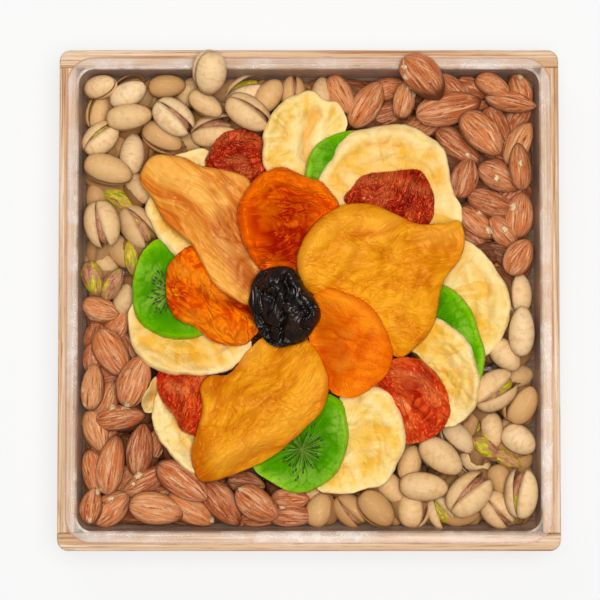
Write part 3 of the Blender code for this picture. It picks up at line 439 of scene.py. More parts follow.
# What both paints of plum have in common
PLUM = {"tint": (255, 160, 104), "rough": (0.2, 0.34), "coarse": 110, "bend": 0.9}
PAINTS = {
    "wood_x": wood("tray_wood_across", 0), "wood_y": wood("tray_wood_along", 1),
    "panel": wood("panel_wood_paint", 0, 0.93), "liner": clear_plastic(), "shell": shell_paint(),
    "kernel": kernel_paint(), "almond": almond_paint(), "apple": apple_paint(), "kiwi": kiwi_paint(),
    "seed": seed_paint(),
    "plum": fruit_paint("red_plum_paint", (202, 64, 24), (174, 28, 10), (140, 8, 3), (110, 5, 2),
                        (234, 122, 64), **PLUM, fold_shading=0.65, folds=330, depth=0.75, streak=0.95, bump=0.0011,
                        gloss=0.8),
    "plum_bright": fruit_paint("red_plum_bright_paint", (236, 98, 36), (212, 56, 12), (182, 24, 3),
                               (142, 12, 2), (246, 142, 76), **PLUM, fold_shading=0.6, fine=360, folds=400,
                               depth=0.6, bump=0.0009, gloss=0.7),
    "apricot": fruit_paint("apricot_half_paint", (250, 134, 6), (240, 108, 0), (226, 82, 0), (188, 52, 0),
                           (250, 154, 36), (255, 176, 70), coarse=75, fine=300, depth=0.15, bump=0.0005),
    "apricot_rough": fruit_paint("apricot_rough_paint", (252, 132, 3), (238, 92, 0), (202, 44, 0),
                                 (164, 22, 0), (252, 162, 30), (255, 140, 30), (0.24, 0.4), coarse=130,
                                 fold_shading=0.65, folds=260, depth=0.7, bend=0.8, bump=0.0007),
    "cup": fruit_paint("apricot_hollow_paint", (244, 116, 2), (230, 82, 0), (198, 46, 0), (158, 17, 0),
                       (250, 128, 2), (255, 136, 30), (0.2, 0.38), coarse=110, fold_shading=0.5, folds=300,
                       bend=0.8),
    "pear": fruit_paint("pear_half_paint", (231, 153, 19), (217, 129, 3), (202, 103, 1), (186, 82, 1),
                        (244, 172, 54), (255, 186, 80), coarse=70, fold_shading=0.55, fine=440, folds=300, depth=0.3,
                        streak=0.65, bend=0.8, bump=0.0004),
    "pear_pale": fruit_paint("pear_pale_paint", (242, 172, 74), (228, 146, 48), (208, 106, 18), (184, 78, 8),
                             (244, 184, 98), (255, 210, 140), coarse=65, fold_shading=0.5, fine=380, folds=320,
                             depth=0.3, streak=0.3, bend=0.7, bump=0.0004),
    "prune": fruit_paint("prune_paint", (20, 13, 13), (10, 7, 8), (4, 2, 3), (3, 1, 2), (44, 30, 27),
                         (255, 240, 230), (0.24, 0.38), coarse=120, fine=170, fold_shading=0.3, folds=150, depth=0.6,
                         bump=0.0010, gloss=0.45),
}


class Piece:
    """Gathers the parts of one mesh, with their paints and the values kept at their points."""

    def __init__(self, name):
        self.name, self.points, self.faces, self.paints, self.values, self.count = name, [], [], [], {}, 0

    def add(self, points, faces, paint, **values):
        """Adds a part. Paint is one name, or a list with a name for each face."""
        points = np.asarray(points, float)
        self.points.append(points)
        self.faces += [tuple(int(i) + self.count for i in face) for face in faces]
        self.paints += [paint] * len(faces) if isinstance(paint, str) else paint
        for key, value in values.items():
            self.values.setdefault(key, []).append((self.count, np.asarray(value, float)))
        self.count += len(points)

    def spread(self):
        """Each kind of value at all the points, zero where a part gave none."""
        full = {}
        for key, parts in self.values.items():
            full[key] = np.zeros((self.count, *parts[0][1].shape[1:]))
            for start, value in parts:
                full[key][start:start + len(value)] = value
        return full

    def make(self, body, slot, *replaced):
        """Makes the object and says what it rides on and which nodes it replaces; its slot is not used."""
        mesh = bpy.data.meshes.new(self.name)
        mesh.from_pydata(np.vstack(self.points), [], self.faces)
        order = sorted(set(self.paints))
        for paint in order:
            mesh.materials.append(PAINTS[paint])
        mesh.polygons.foreach_set("material_index", [order.index(paint) for paint in self.paints])
        for key, full in self.spread().items():
            wide = full.ndim > 1
            kept = mesh.attributes.new(key, "FLOAT_VECTOR" if wide else "FLOAT", "POINT")
            kept.data.foreach_set("vector" if wide else "value", full.astype(np.float32).ravel())
        mesh.shade_smooth()
        made = in_scene(self.name, mesh)
        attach(made, body)
        if replaced:
            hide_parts(*replaced)
        return made


def tube(rows, columns):
    """Quads of rows of points that each close on themselves."""
    i, j = np.meshgrid(np.arange(rows - 1), np.arange(columns), indexing="ij")
    a, b = i * columns + j, i * columns + (j + 1) % columns
    return np.stack((a, b, b + columns, a + columns), -1).reshape(-1, 4)


def closed_tube(rows, columns):
    """Faces of such a tube with a lid at either end."""
    return [tuple(face) for face in tube(rows, columns)] + [
        tuple(reversed(range(columns))), tuple(range((rows - 1) * columns, rows * columns))]


# The wood keeps its CAD solids
for name, paint in (("rail_back", "wood_x"), ("rail_front", "wood_x"), ("rail_left", "wood_y"),
                    ("rail_right", "wood_y"), ("base_panel", "panel")):
    nodes[name].data.materials.clear()
    nodes[name].data.materials.append(PAINTS[paint])


def rounded_square(half, radius, z, steps=16):
    """A ring of points at height z, with corners of a radius."""
    points = []
    for corner, (sx, sy) in enumerate(((1, 1), (-1, 1), (-1, -1), (1, -1))):
        for i in range(steps + 1):
            angle = math.pi / 2 * (corner + i / steps)
            points.append(((half - radius) * sx + math.cos(angle) * radius,
                           (half - radius) * sy + math.sin(angle) * radius, z))
    return points


# The liner's rings from the wall over the lip to the flange, and then out to its rolled edge: how much white
# each one lays over what lies behind it, a little haze and mostly a painted highlight on the lip and a
# painted reflection on the flange, and how much painted brown it shows, a reflection of wood and nuts or a
# darker line at its cut edge, and for the last ones also how far in it lies (mm)
LIP_RINGS = ((0.03, 0.7), (0.16, 0.3), (0.45, 0), (0.36, 0), (0.22, 0), (0.2, 0))
FLANGE_RINGS = ((0.26, 0, 2.6), (0.26, 0, 0.7), (0.2, 0.9, 0.35), (0.3, 0.5, 0))
# The rings of its foot, how far the lip's curve reaches for its radius, how far below the flange the upper
# ring of the wall lies, and how much more painted highlight its corners get, where the white it lays on is
# more than this
FOOT_RINGS = 7
LIP_SPREAD = 1.3
UPPER_WALL = 3 * MM
CORNER_HIGHLIGHT, VEILED = 0.55, 0.33


def build_liner():
    """The clear sheet: its under side from the floor to the flange's edge, and back along its upper side."""
    foot = WALL_TOP - (FLANGE_UNDER - FLOOR_UNDER) * WALL_LEAN
    heel = foot + LINER_FOOT * WALL_LEAN

    def side(shift):
        """One side of the sheet, shifted inward and up by its wall, as rings with how much white and how much
        brown each lays on, both mostly painted highlight and reflection.
        """
        corner = LINER_CORNER - shift
        for i in range(FOOT_RINGS):
            turn = math.pi / 2 * i / (FOOT_RINGS - 1)
            inset = LINER_FOOT * (1 - math.sin(turn))
            yield (rounded_square(foot - shift - inset, max(corner - inset, corner * 0.3),
                                  FLOOR_UNDER + shift + LINER_FOOT * (1 - math.cos(turn))), 0.03, 0.3)
        yield rounded_square(heel - shift, corner, FLOOR_UNDER + LINER_FOOT + shift), 0.03, 0.34
        yield (rounded_square(WALL_TOP - shift - UPPER_WALL * WALL_LEAN, corner, FLANGE_UNDER - UPPER_WALL),
               0.02, 0.55)
        last = len(LIP_RINGS) - 1
        for i, (veil_and_sheen, edge) in enumerate(LIP_RINGS):
            turn = math.pi / 2 * i / last
            out = LINER_LIP * LIP_SPREAD * (1 - math.cos(turn))
            yield (rounded_square(WALL_TOP - shift - LINER_LIP * WALL_LEAN + out,
                                  corner + LINER_LIP * i / last,
                                  FLANGE_UNDER - LINER_LIP * (1 - math.sin(turn)) + shift), veil_and_sheen, edge)
        for veil_and_sheen, edge, inset in FLANGE_RINGS:
            yield (rounded_square(INSIDE + FLANGE_REACH - inset * MM, FLANGE_CORNER - inset * MM,
                                  FLANGE_UNDER + shift), veil_and_sheen, edge)

    rings, veils_and_sheens, painted_browns = zip(*side(0), *reversed(list(side(LINER_WALL))))
    count = len(rings[0])
    corners = np.tile(np.sin(np.linspace(0, np.pi, count // 4)), 4)
    piece = Piece("liner_sheet")
    # The lip's corners get more painted highlight
    piece.add(np.vstack(rings), closed_tube(len(rings), count), "liner", edge=np.repeat(painted_browns, count),
              veil_and_sheen=np.concatenate([veil_and_sheen + CORNER_HIGHLIGHT * corners * (veil_and_sheen > VEILED) for veil_and_sheen in veils_and_sheens]))
    piece.make("insert", "liner_plastic", "liner").data.set_sharp_from_angle(angle=math.radians(40))


build_liner()


# Nuts, each about the origin with its length along x and its tip ahead: how blunt their back ends and tips
# are, the rows and columns of their grids, fine and hidden, an almond's lumps, fine ridges and most bend,
# and a shell's wall
ALMOND_ENDS, SHELL_ENDS = (0.5, 0.63), (0.42, 0.52)
ALMOND_GRIDS, SHELL_GRIDS = ((30, 26), (12, 10)), ((22, 12), (9, 6))
LUMPS, FINE_RIDGES = 0.035, 0.014
MOST_BEND = 0.05
SHELL_WALL = 0.07
# A kernel's size as shares of its shell's, how thick a bare one is to its width, the shell's hinge as a
# share of its length behind the middle, and how long and wide a chip is to its reach
KERNEL_SHARES = (0.84, 0.74, 0.84)
BARE_THICK = 0.9
HINGE = 0.46
CHIP_LONG, CHIP_WIDE = 0.95, 0.65
# How far from its seam and from its back end a shell's rim is brown and how brown, and how brown it is inside
SEAM_BROWN, END_BROWN, INSIDE_BROWN = (0.1, 0.4), (0.035, 0.35), 0.6


def swell(u, blunt, sharp):
    """How thick a nut is along its length, 1 at its thickest."""
    peak = blunt / (blunt + sharp)
    return u ** blunt * (1 - u) ** sharp / (peak ** blunt * (1 - peak) ** sharp)


def almond_mesh(size, fine):
    """Points, faces and grain of an almond, and of what has its form: a kernel or a seed."""
    length, width, thick = size
    rows, columns = ALMOND_GRIDS[not fine]
    u = (1 - np.cos(np.pi * np.linspace(0.02, 0.985, rows))) / 2
    turn = 2 * np.pi * np.arange(columns) / columns
    u, turn = (grid.ravel() for grid in np.meshgrid(u, turn, indexing="ij"))
    seed = dice.randrange(9999)
    half = swell(u, *ALMOND_ENDS)
    grain = np.column_stack((u * 2, np.cos(turn), np.sin(turn)))
    lumps = 1 + (LUMPS * noise(grain * (1.6, 1.1, 1.1), seed)
                 + FINE_RIDGES * noise(grain * (1, 4.2, 4.2), seed + 1)) * fine
    bend = dice.uniform(-MOST_BEND, MOST_BEND) * width
    points = np.column_stack((
        (u - 0.5) * length,
        np.cos(turn) * half * lumps * width / 2 + bend * (4 * u * (1 - u) - 0.5),
        np.sign(np.sin(turn)) * np.abs(np.sin(turn)) ** 1.08 * half ** 0.9 * lumps * thick / 2))
    return points, closed_tube(rows, columns), grain + np.array([seed % 97, seed % 53, seed % 31])


def shell_half(size, side, fine):
    """One half of a pistachio shell, on the side of +y or -y, as a closed skin."""
    length, width, thick = size
    rows, columns = SHELL_GRIDS[not fine]
    u = (1 - np.cos(np.pi * np.linspace(0.015, 0.985, rows))) / 2
    turn = np.pi * np.arange(columns) / (columns - 1)
    turn = np.concatenate((turn, turn[::-1]))
    inner = np.concatenate((np.zeros(columns), np.ones(columns)))
    u, turn = np.meshgrid(u, turn, indexing="ij")
    inner = np.broadcast_to(inner, u.shape).ravel()
    u, turn = u.ravel(), turn.ravel()
    half = swell(u, *SHELL_ENDS) * (1 - inner * SHELL_WALL * 1.6)
    points = np.column_stack(((u - 0.5) * length * (1 - inner * SHELL_WALL),
                              np.sin(turn) * half * width / 2 * side, np.cos(turn) * half * thick / 2))
    grain = np.column_stack((u * 2, np.cos(turn), np.sin(turn) * side))
    (seam, by_seam), (end, by_end) = SEAM_BROWN, END_BROWN
    rim = (np.exp(-(np.sin(turn) / seam) ** 2) * by_seam + np.exp(-(u / end) ** 2) * by_end
           + inner * INSIDE_BROWN)
    return points, closed_tube(rows, columns * 2), grain, rim


# Painted shade on nuts: from where and over what way down their sides it darkens them, in halves of their
# height, and below what height, over what depth and how much it darkens those of the top layer
DARK_FROM, DARK_OVER = 0.55, 0.75
SHADE_BELOW, SHADE_OVER, SHADE = 0.0252, 0.005, 0.4
# Hidden nuts get painted shade from a band at the wall inward. How dark it makes them at the wall all over,
# and how much more down their sides and on their crowns, each with what the band's inner side adds to it
WALL_BAND, WALL_OVER = 12 * MM, 6 * MM
ALL_DARK, SIDES_DARK, CROWN_DARK = (0.2, 0.65), (0.3, -0.15), (0.6, -0.5)


def fraction(value, whole):
    """What part of a whole a value is, at least none and at most all of it."""
    return min(max(value / whole, 0), 1)


def sides(points, place, size, fine):
    """How much painted shade points of a nut get: it darkens them down its sides and where the nut lies deep.
    Hidden nuts get more painted shade, but for those at the liner's wall, which shows them from the side."""
    half = size[2] / 2
    middle = place.translation
    part = np.clip((middle.z + DARK_FROM * half - points[:, 2]) / (DARK_OVER * half), 0, 1)
    part = part * part * (3 - 2 * part)
    if fine:
        return np.maximum(part, fraction(SHADE_BELOW - middle.z, SHADE_OVER) * SHADE)
    dusk = fraction(INSIDE - max(abs(middle.x), abs(middle.y)) - WALL_BAND, WALL_OVER)
    crown = np.clip((points[:, 2] - middle.z) / half, 0, 1)
    over, side, tip = (wall + inner * dusk for wall, inner in (ALL_DARK, SIDES_DARK, CROWN_DARK))
    return np.minimum(over + side * part + tip * crown, 1)


def add_almond(piece, place, size, tone, chips=(), fine=1):
    """Adds an almond, with its skin torn near the chips."""
    points, faces, grain = almond_mesh(size, fine)
    points = moved(points, place)
    chip = np.zeros(len(points))
    if fine:
        pixels = seen(points)
        up = points[:, 2] > place.translation.z - size[2] * 0.2
        ahead = Vector(place.col[0][:2]).normalized()
        for x, y, reach in chips:
            away = pixels - (x, y)
            along, aside = away @ (ahead.x, -ahead.y), away @ (ahead.y, ahead.x)
            far = (along / CHIP_LONG) ** 2 + (aside / CHIP_WIDE) ** 2
            chip = np.maximum(chip, np.exp(-far / reach ** 2) * up)
    piece.add(points, faces, "almond", tone=np.full(len(points), tone), grain=grain, chip=chip,
              side=sides(points, place, size, fine))


def add_kernel(piece, place, size, tone, fine):
    """Adds a pistachio's kernel, of a random tone where none is given."""
    points, faces, grain = almond_mesh(size, fine)
    tone = dice.random() if tone is None else tone
    piece.add(moved(points, place), faces, "kernel", tone=np.full(len(points), tone), grain=grain)


def add_pistachio(piece, place, size, form, roll, gape, tone, fine=1):
    """form: c shut, s split, u one open half as a cup with its kernel, k a bare kernel."""
    place = place @ Matrix.Rotation(math.radians(roll), 4, "X")
    length, width, _ = size
    if form == "k":
        add_kernel(piece, place, (length, width, width * BARE_THICK), tone, fine)
        return
    if form in "su" or fine and gape:
        add_kernel(piece, place, [part * share for part, share in zip(size, KERNEL_SHARES)], None, fine)
    offset = np.array([dice.uniform(0, 90) for _ in range(3)])
    hinge = np.array((-length * HINGE, 0, 0))
    for side in (-1,) if form == "u" else (1, -1):
        points, faces, grain, rim = shell_half(size, side, fine)
        swing = np.array(Matrix.Rotation(math.radians(gape / 2) * side, 3, "Z"))
        points = moved((points - hinge) @ swing.T + hinge, place)
        piece.add(points, faces if side > 0 else [face[::-1] for face in faces], "shell",
                  tone=np.full(len(points), tone), grain=grain + offset, rim=rim * (1 if fine else 0.4),
                  side=sides(points, place, size, fine))


# Nuts of the top layer: pixel right and down, length and width in pixels, heading, how far it is sunk (mm),
# then for an almond its roll, and for a pistachio its form, roll, gape and how far it tips, unless these are
# as in SHUT
SHUT = ("c", 80, 2, 0)
PISTACHIOS = {
    "back_left": (
        (95, 87, 41, 28, 12, 0, "c", 70, 3, 38), (128, 87, 45, 32, 35, 0, "s", -62, 34, 4),
        (167, 86, 41, 28, 5, 0, "c", 92, 2, 0), (190, 90, 36, 27, 60, 3, "c", 60, 3, 0),
        (245, 81, 46, 31, 28, 1, "s", -38, 24, 2), (269, 95, 41, 31, 55, 0, "c", 85, 2, 0),
        (293, 89, 38, 27, 88, 1.5, "s", 10, 7, 0), (97, 112, 38, 26, 80, 2, "s", -42, 10, 0),
        (213, 130, 50, 31, 15, 1.5, "s", -28, 20, 0), (97, 138, 45, 32, 42, 0, "s", -20, 8, 0),
        (162, 138, 48, 33, -32, 0.5, "s", 62, 8, 0), (132, 154, 46, 30, 85, 1.5, "c", 95, 2, 0),
        (190, 143, 40, 28, 5, 3), (121, 143, 38, 26, 80, 4), (138, 188, 40, 29, -50, 1.5, "c", 100, 2, 0),
        (92, 196, 38, 26, 90, 3), (118, 198, 39, 22, -30, 1, "k", 0, 0, 0),
        (138, 226, 50, 32, -52, 0.5, "s", -20, 20, 0), (119, 251, 41, 29, -60, 2, "c", 70, 2, 0),
        (99, 262, 41, 31, -35, 2.5, "c", 90, 2, 0), (131, 258, 39, 18, -80, 1, "k", 0, 0, 0),
        (91, 278, 39, 24, -75, 0.5, "k", 0, 0, 0), (112, 284, 38, 22, 60, 0.5, "k", 0, 0, 0),
        (125, 299, 38, 27, 70, 2), (148, 99, 36, 27, 20, 4), (322, 91, 38, 26, 88, 3),
        (98, 158, 38, 26, 10, 4, "c", 85, 2, 0), (152, 118, 36, 26, -60, 4, "c", 85, 2, 0),
        (226, 99, 38, 26, 40, 4, "c", 85, 2, 0), (150, 166, 38, 26, 10, 4, "c", 85, 2, 0),
    ),
    "front_right": (
        (519, 293, 45, 29, 95, 0.5, "s", -50, 14, 0), (505, 355, 42, 32, -50, 1, "c", 88, 2, 0),
        (523, 378, 40, 30, 20, 3), (520, 403, 45, 35, 65, 0, "s", -52, 20, 0),
        (493, 430, 40, 27, -80, 1, "c", 85, 2, 0), (475, 425, 36, 26, 65, 2, "s", 30, 18, 0),
        (487, 449, 38, 21, -40, 0.5, "k", 0, 0, 0), (509, 460, 34, 18, -30, 0.5, "k", 0, 0, 0),
        (525, 440, 41, 34, -35, 0), (526, 463, 38, 30, 30, 3, "c", 85, 2, 0),
        (457, 440, 42, 31, -50, 1, "s", 50, 16, 0), (476, 464, 41, 31, -40, 1.5, "s", 60, 6, 0),
        (410, 463, 40, 28, 75, 1, "c", 88, 2, 0), (450, 479, 38, 30, 20, 3),
        (391, 488, 41, 30, -50, 1, "c", 95, 2, 0), (376, 511, 47, 35, -45, 0, "s", 66, 5, 0),
        (350, 511, 41, 30, -50, 1, "s", 12, 10, 0), (319, 512, 40, 32, 70, 1, "u", -84, 0, 0),
        (415, 513, 41, 34, 80, 0.5, "s", 50, 22, 0), (443, 517, 38, 27, -60, 1.5, "s", 10, 26, 14),
        (463, 519, 41, 27, 10, 1.5, "c", 85, 2, 0), (502, 482, 40, 30, -60, 1),
        (498, 512, 43, 34, -50, 0, "s", 8, 10, 0), (312, 494, 38, 27, 10, 3), (436, 498, 38, 28, 40, 3),
        (490, 396, 38, 27, 60, 4), (515, 318, 38, 27, 20, 4), (399, 516, 36, 27, 60, 3),
        (508, 432, 38, 27, 70, 4),
    ),
}
ALMONDS = {
    "back_right": (
        (341, 91, 47, 30, -60, 0, 0), (367, 103, 58, 36, 57, 0, 6), (390, 88, 42, 28, 10, 2, 20),
        (405, 99, 42, 28, 80, 0.5, 20), (389, 113, 44, 29, 20, 3, 0), (422, 125, 56, 32, 30, 2, -15),
        (452, 85, 44, 27, -40, 1, 10), (473, 86, 38, 26, -25, 2.5, 0), (493, 80, 40, 26, -25, 0, 15),
        (521, 87, 40, 28, -70, 1, 25), (512, 101, 56, 27, -12, 0.5, 20), (520, 118, 42, 29, 60, 3, 0),
        (497, 127, 48, 31, -65, 1.5, -12), (520, 143, 52, 31, 62, 0.5, 14), (458, 145, 58, 31, -38, 0.5, 10),
        (449, 126, 46, 29, 0, 3, 0), (464, 178, 46, 34, 70, 0, -8), (500, 176, 50, 34, -30, 0.5, 5),
        (492, 203, 55, 31, -20, 0.5, 12), (524, 214, 50, 35, 83, 0.5, 8), (477, 223, 48, 29, -40, 0.5, 12),
        (505, 232, 44, 29, -50, 1, -10), (472, 237, 40, 25, -35, 3, 0), (484, 248, 40, 26, -30, 3, 0),
        (496, 262, 40, 27, -50, 3, 0), (519, 257, 43, 34, 60, 0.5, 10), (476, 108, 42, 28, 30, 4, 0),
        (436, 101, 42, 28, 60, 3, 0), (506, 156, 42, 28, -20, 4, 0), (482, 158, 42, 28, 20, 4, 0),
        (512, 193, 42, 28, 40, 4, 0),
    ),
    "front_left": (
        (98, 309, 42, 30, -20, 0, 0), (117, 324, 40, 28, 60, 1, 0), (94, 336, 40, 26, 80, 3, 0),
        (92, 355, 42, 27, 75, 2.5, 0), (130, 350, 40, 25, -65, 2.5, 0), (91, 387, 50, 28, 85, 0, 20),
        (107, 399, 46, 29, 72, 1, 10), (120, 418, 54, 30, 8, 0, 12), (90, 431, 48, 30, -70, 0, 10),
        (140, 450, 57, 32, 83, 0, 10), (92, 473, 50, 28, -80, 1.5, 12), (124, 479, 38, 25, 60, 3, 0),
        (153, 446, 42, 26, 65, 2.5, 0), (146, 482, 54, 31, 30, 0.5, 10), (89, 506, 40, 26, 80, 0.5, 10),
        (110, 510, 48, 37, 42, 0.5, 8), (190, 513, 57, 33, -30, 0.5, 10), (222, 504, 58, 35, -52, 0.5, 5),
        (246, 483, 42, 27, -10, 3, 0), (264, 518, 52, 28, 10, 2, 0), (290, 500, 42, 27, 0, 1, 10),
        (291, 521, 50, 27, 0, 0.5, 10), (160, 500, 42, 28, 40, 3, 0), (105, 440, 42, 28, 60, 3.5, 0),
        (125, 498, 42, 28, -20, 3, 0), (172, 470, 44, 28, 10, 3, 0), (245, 520, 42, 27, 30, 3, 0),
        (206, 488, 42, 28, 20, 3, 0), (112, 374, 42, 28, 10, 3.5, 0), (160, 517, 40, 28, 0, 4, 0),
    ),
}

# Where the skin of an almond is chipped and pale: pixel right and down, and reach
CHIPS = (
    (403, 66, 4), (404, 76, 4), (408, 88, 4), (414, 95, 3), (468, 155, 4), (521, 163, 5), (497, 178, 5),
    (515, 206, 6), (490, 230, 6), (506, 228, 5), (83, 390, 4), (84, 405, 4), (125, 407, 6), (112, 407, 5),
    (138, 476, 6), (98, 491, 5), (163, 452, 4), (213, 521, 5), (240, 489, 4), (110, 500, 5), (88, 320, 6),
    (521, 76, 5), (538, 105, 4), (372, 124, 3), (480, 212, 4), (133, 484, 4), (90, 520, 4), (282, 508, 4),
)

# Nuts that lie free, as the CAD model has them: heading, pitch, roll, length and width as shares of the
# common ones, then a pistachio's form, roll and gape
LOOSE = {
    "pistachio_01": (8, 4, 0, 1.02, 1.0, "c", 84, 3), "pistachio_02": (-40, -6, 0, 1.0, 1.05, "s", -15, 10),
    "pistachio_03": (-32, 5, 0, 1.1, 1.05, "s", -27, 7), "pistachio_13": (-35, -6, 0, 0.85, 0.85, "c", 80, 3),
    "pistachio_04": (-97, 30, 0, 1.0, 1.25, "c", 58, 3), "pistachio_05": (-18, 3, 0, 1.1, 1.1, "c", 75, 4),
    "pistachio_06": (-78, -4, 0, 1.05, 1.1, "s", 10, 11), "pistachio_07": (88, -4, 0, 1.1, 1.0, "c", 80, 3),
    "pistachio_08": (32, 5, 0, 1.05, 1.15, "s", 15, 14), "pistachio_09": (-38, -4, 0, 1.1, 1.15, "c", 96, 3),
    "pistachio_10": (-5, 4, 0, 1.08, 1.1, "c", 86, 3), "pistachio_11": (45, 5, 0, 1.12, 1.15, "s", -21, 13),
    "pistachio_12": (88, -5, 0, 1.08, 1.0, "s", -30, 14),
    "almond_01": (13, 5, 0, 1.25, 1.1), "almond_02": (-45, 22, 14, 1.08, 1.15),
    "almond_03": (-48, -5, 6, 1.02, 1.1), "almond_04": (94, 6, 55, 0.88, 1.0),
    "almond_05": (-58, 6, 4, 1.02, 1.05), "almond_06": (70, -5, -4, 1.02, 1.05),
    "almond_07": (80, 5, 6, 1.12, 0.9), "almond_08": (-35, -5, 0, 1.12, 1.05),
    "almond_09": (-10, 4, 4, 1.04, 1.05), "almond_10": (-35, -4, 4, 0.92, 1.05),
}
ALMOND_SIZE = (0.025, 0.0145, 0.0092)
PISTACHIO_SIZE = (0.021, 0.0137, 0.0122)

# Each kind of nut: its top layers, its common size, the shares of its drawn length and width that make its
# size, and the slot of its finish
NUTS = {
    "almond": (ALMONDS, ALMOND_SIZE, (0.95, 0.88, 0.60), "almond_skin"),
    "pistachio": (PISTACHIOS, PISTACHIO_SIZE, (0.93, 0.91, 0.86), "pistachio_shell"),
}


def pose(heading, pitch=0, roll=0):
    """A turn by a roll about x, then a pitch about y and a heading about z, in degrees."""
    return (Matrix.Rotation(math.radians(heading), 4, "Z") @ Matrix.Rotation(math.radians(pitch), 4, "Y")
            @ Matrix.Rotation(math.radians(roll), 4, "X"))


class Cover:
    """The lowest side of everything laid so far, so that nuts laid later go beneath it."""

    def __init__(self):
        self.cell = 1.1 * MM
        self.low = np.ones((int(TRAY_SIDE / self.cell) + 3,) * 2)

    def spots(self, points):
        """The cells in which points lie."""
        return tuple(((np.clip(points[:, axis], -TRAY_SIDE / 2, TRAY_SIDE / 2) + TRAY_SIDE / 2)
                      / self.cell).astype(int) + 1 for axis in (0, 1))

    def add(self, points):
        """Brings the cover down to what is newly laid."""
        np.minimum.at(self.low, self.spots(points), points[:, 2])

    def excess(self, points):
        """How far points stand above the underside of what covers them."""
        return max(0.0, float((points[:, 2] - self.low[self.spots(points)]).max()))


cover = Cover()


def build_loose():
    """The nuts that lie free, each in the middle of its solid's box."""
    for name, (heading, pitch, roll, longer, wider, *shell) in LOOSE.items():
        low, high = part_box(name)
        piece = Piece(name + "_nut")
        place = Matrix.Translation((low + high) / 2) @ pose(heading, pitch, roll)
        kind = name.split("_")[0]
        _, (length, width, thick), _, slot = NUTS[kind]
        if kind == "almond":
            size = (length * longer, width * wider, thick * (1 + wider) / 2)
            add_almond(piece, place, size, dice.uniform(0.45, 0.95), CHIPS)
        else:
            size = (length * longer, width * wider, thick * wider)
            add_pistachio(piece, place, size, *shell, dice.uniform(0.35, 0.8))
        whole = np.vstack(piece.points)
        shift = np.array((low + high) / 2) - (whole.min(0) + whole.max(0)) / 2
        shift[2] = min(shift[2], high.z - whole[:, 2].max())
        piece.points = [points + shift for points in piece.points]
        cover.add(np.vstack(piece.points))
        piece.make("insert", slot, name)


# How near a nut may come to the liner's wall, and how far it reaches from its middle, as a share of its size
WALL_CLEAR = 0.1 * MM
NUT_REACH = 0.48


def wall_half(z):
    """How far from the middle the liner's walls stand at a height."""
    return WALL_TOP - LINER_WALL - (FLANGE_UNDER - z) * WALL_LEAN


def keep_inside(middle, size, heading):
    """Moves a nut in from the liner's walls."""
    wall = wall_half(middle.z) - WALL_CLEAR
    angle = math.radians(heading)
    for axis, lean, swing in ((0, math.cos(angle), math.sin(angle)), (1, math.sin(angle), math.cos(angle))):
        reach = math.hypot(lean * size[0] * NUT_REACH, swing * size[1] * NUT_REACH)
        middle[axis] = max(min(middle[axis], wall - reach), reach - wall)
    return middle


def add_hidden(piece, kind, middle, shares, turned, swing, tone):
    """A plainer nut, whose tone is held down as painted shade, for where only slits or the clear walls show
    it.
    """
    size = [part * dice.uniform(*shares) for part in NUTS[kind][1]]
    heading = turned + dice.uniform(*swing)
    place = Matrix.Translation(keep_inside(middle, size, heading)) @ pose(heading, dice.uniform(-8, 8))
    tone = dice.uniform(0, tone)
    if kind == "almond":
        add_almond(piece, place, size, tone, (), 0)
    else:
        add_pistachio(piece, place, size, "c", dice.uniform(0, 180), 0, tone, 0)


# The top layer: the height at which its nuts are looked for, how far they stand over the heap's solid, which
# lies this low at least, and by the wall, which is this near, over this distance, how high they come
TOP_GUESS = 0.029
HEAP_LEAST = HEAP_TOP + 5.5 * MM
OVER_HEAP = 1.0 * MM
WALL_GUESS, WALL_NEAR, WALL_FADE, WALL_HIGH = 0.03, 0.024, 0.012, 34.5 * MM
# How far into what lies on it a nut may reach, and what share of the rest it gives way, up to a most
COVER_BITE, COVER_YIELD, COVER_MOST = 3.5 * MM, 0.8, 5 * MM
# The layers beneath, which the clear walls and floor show: height and brightest tone, held down as painted
# shade, then the first place and the pitch of their grid, and the same for the two rows that stand along the
# walls
LAYERS = ((0.0125, 0.5), (0.0172, 0.3), (0.0208, 0.4))
GRID = ((0.009, 0.0172, 6), (0.008, 0.0150, 7))
STAGGER = 0.004
WALL_ROW = (0.005, 0.0155, 7)
# Where the rows along the walls stand, their height and their brightest tone, held down as painted shade
WALL_PLACE, WALL_LAYER, WALL_TONE = 0.110, 0.0195, 0.4


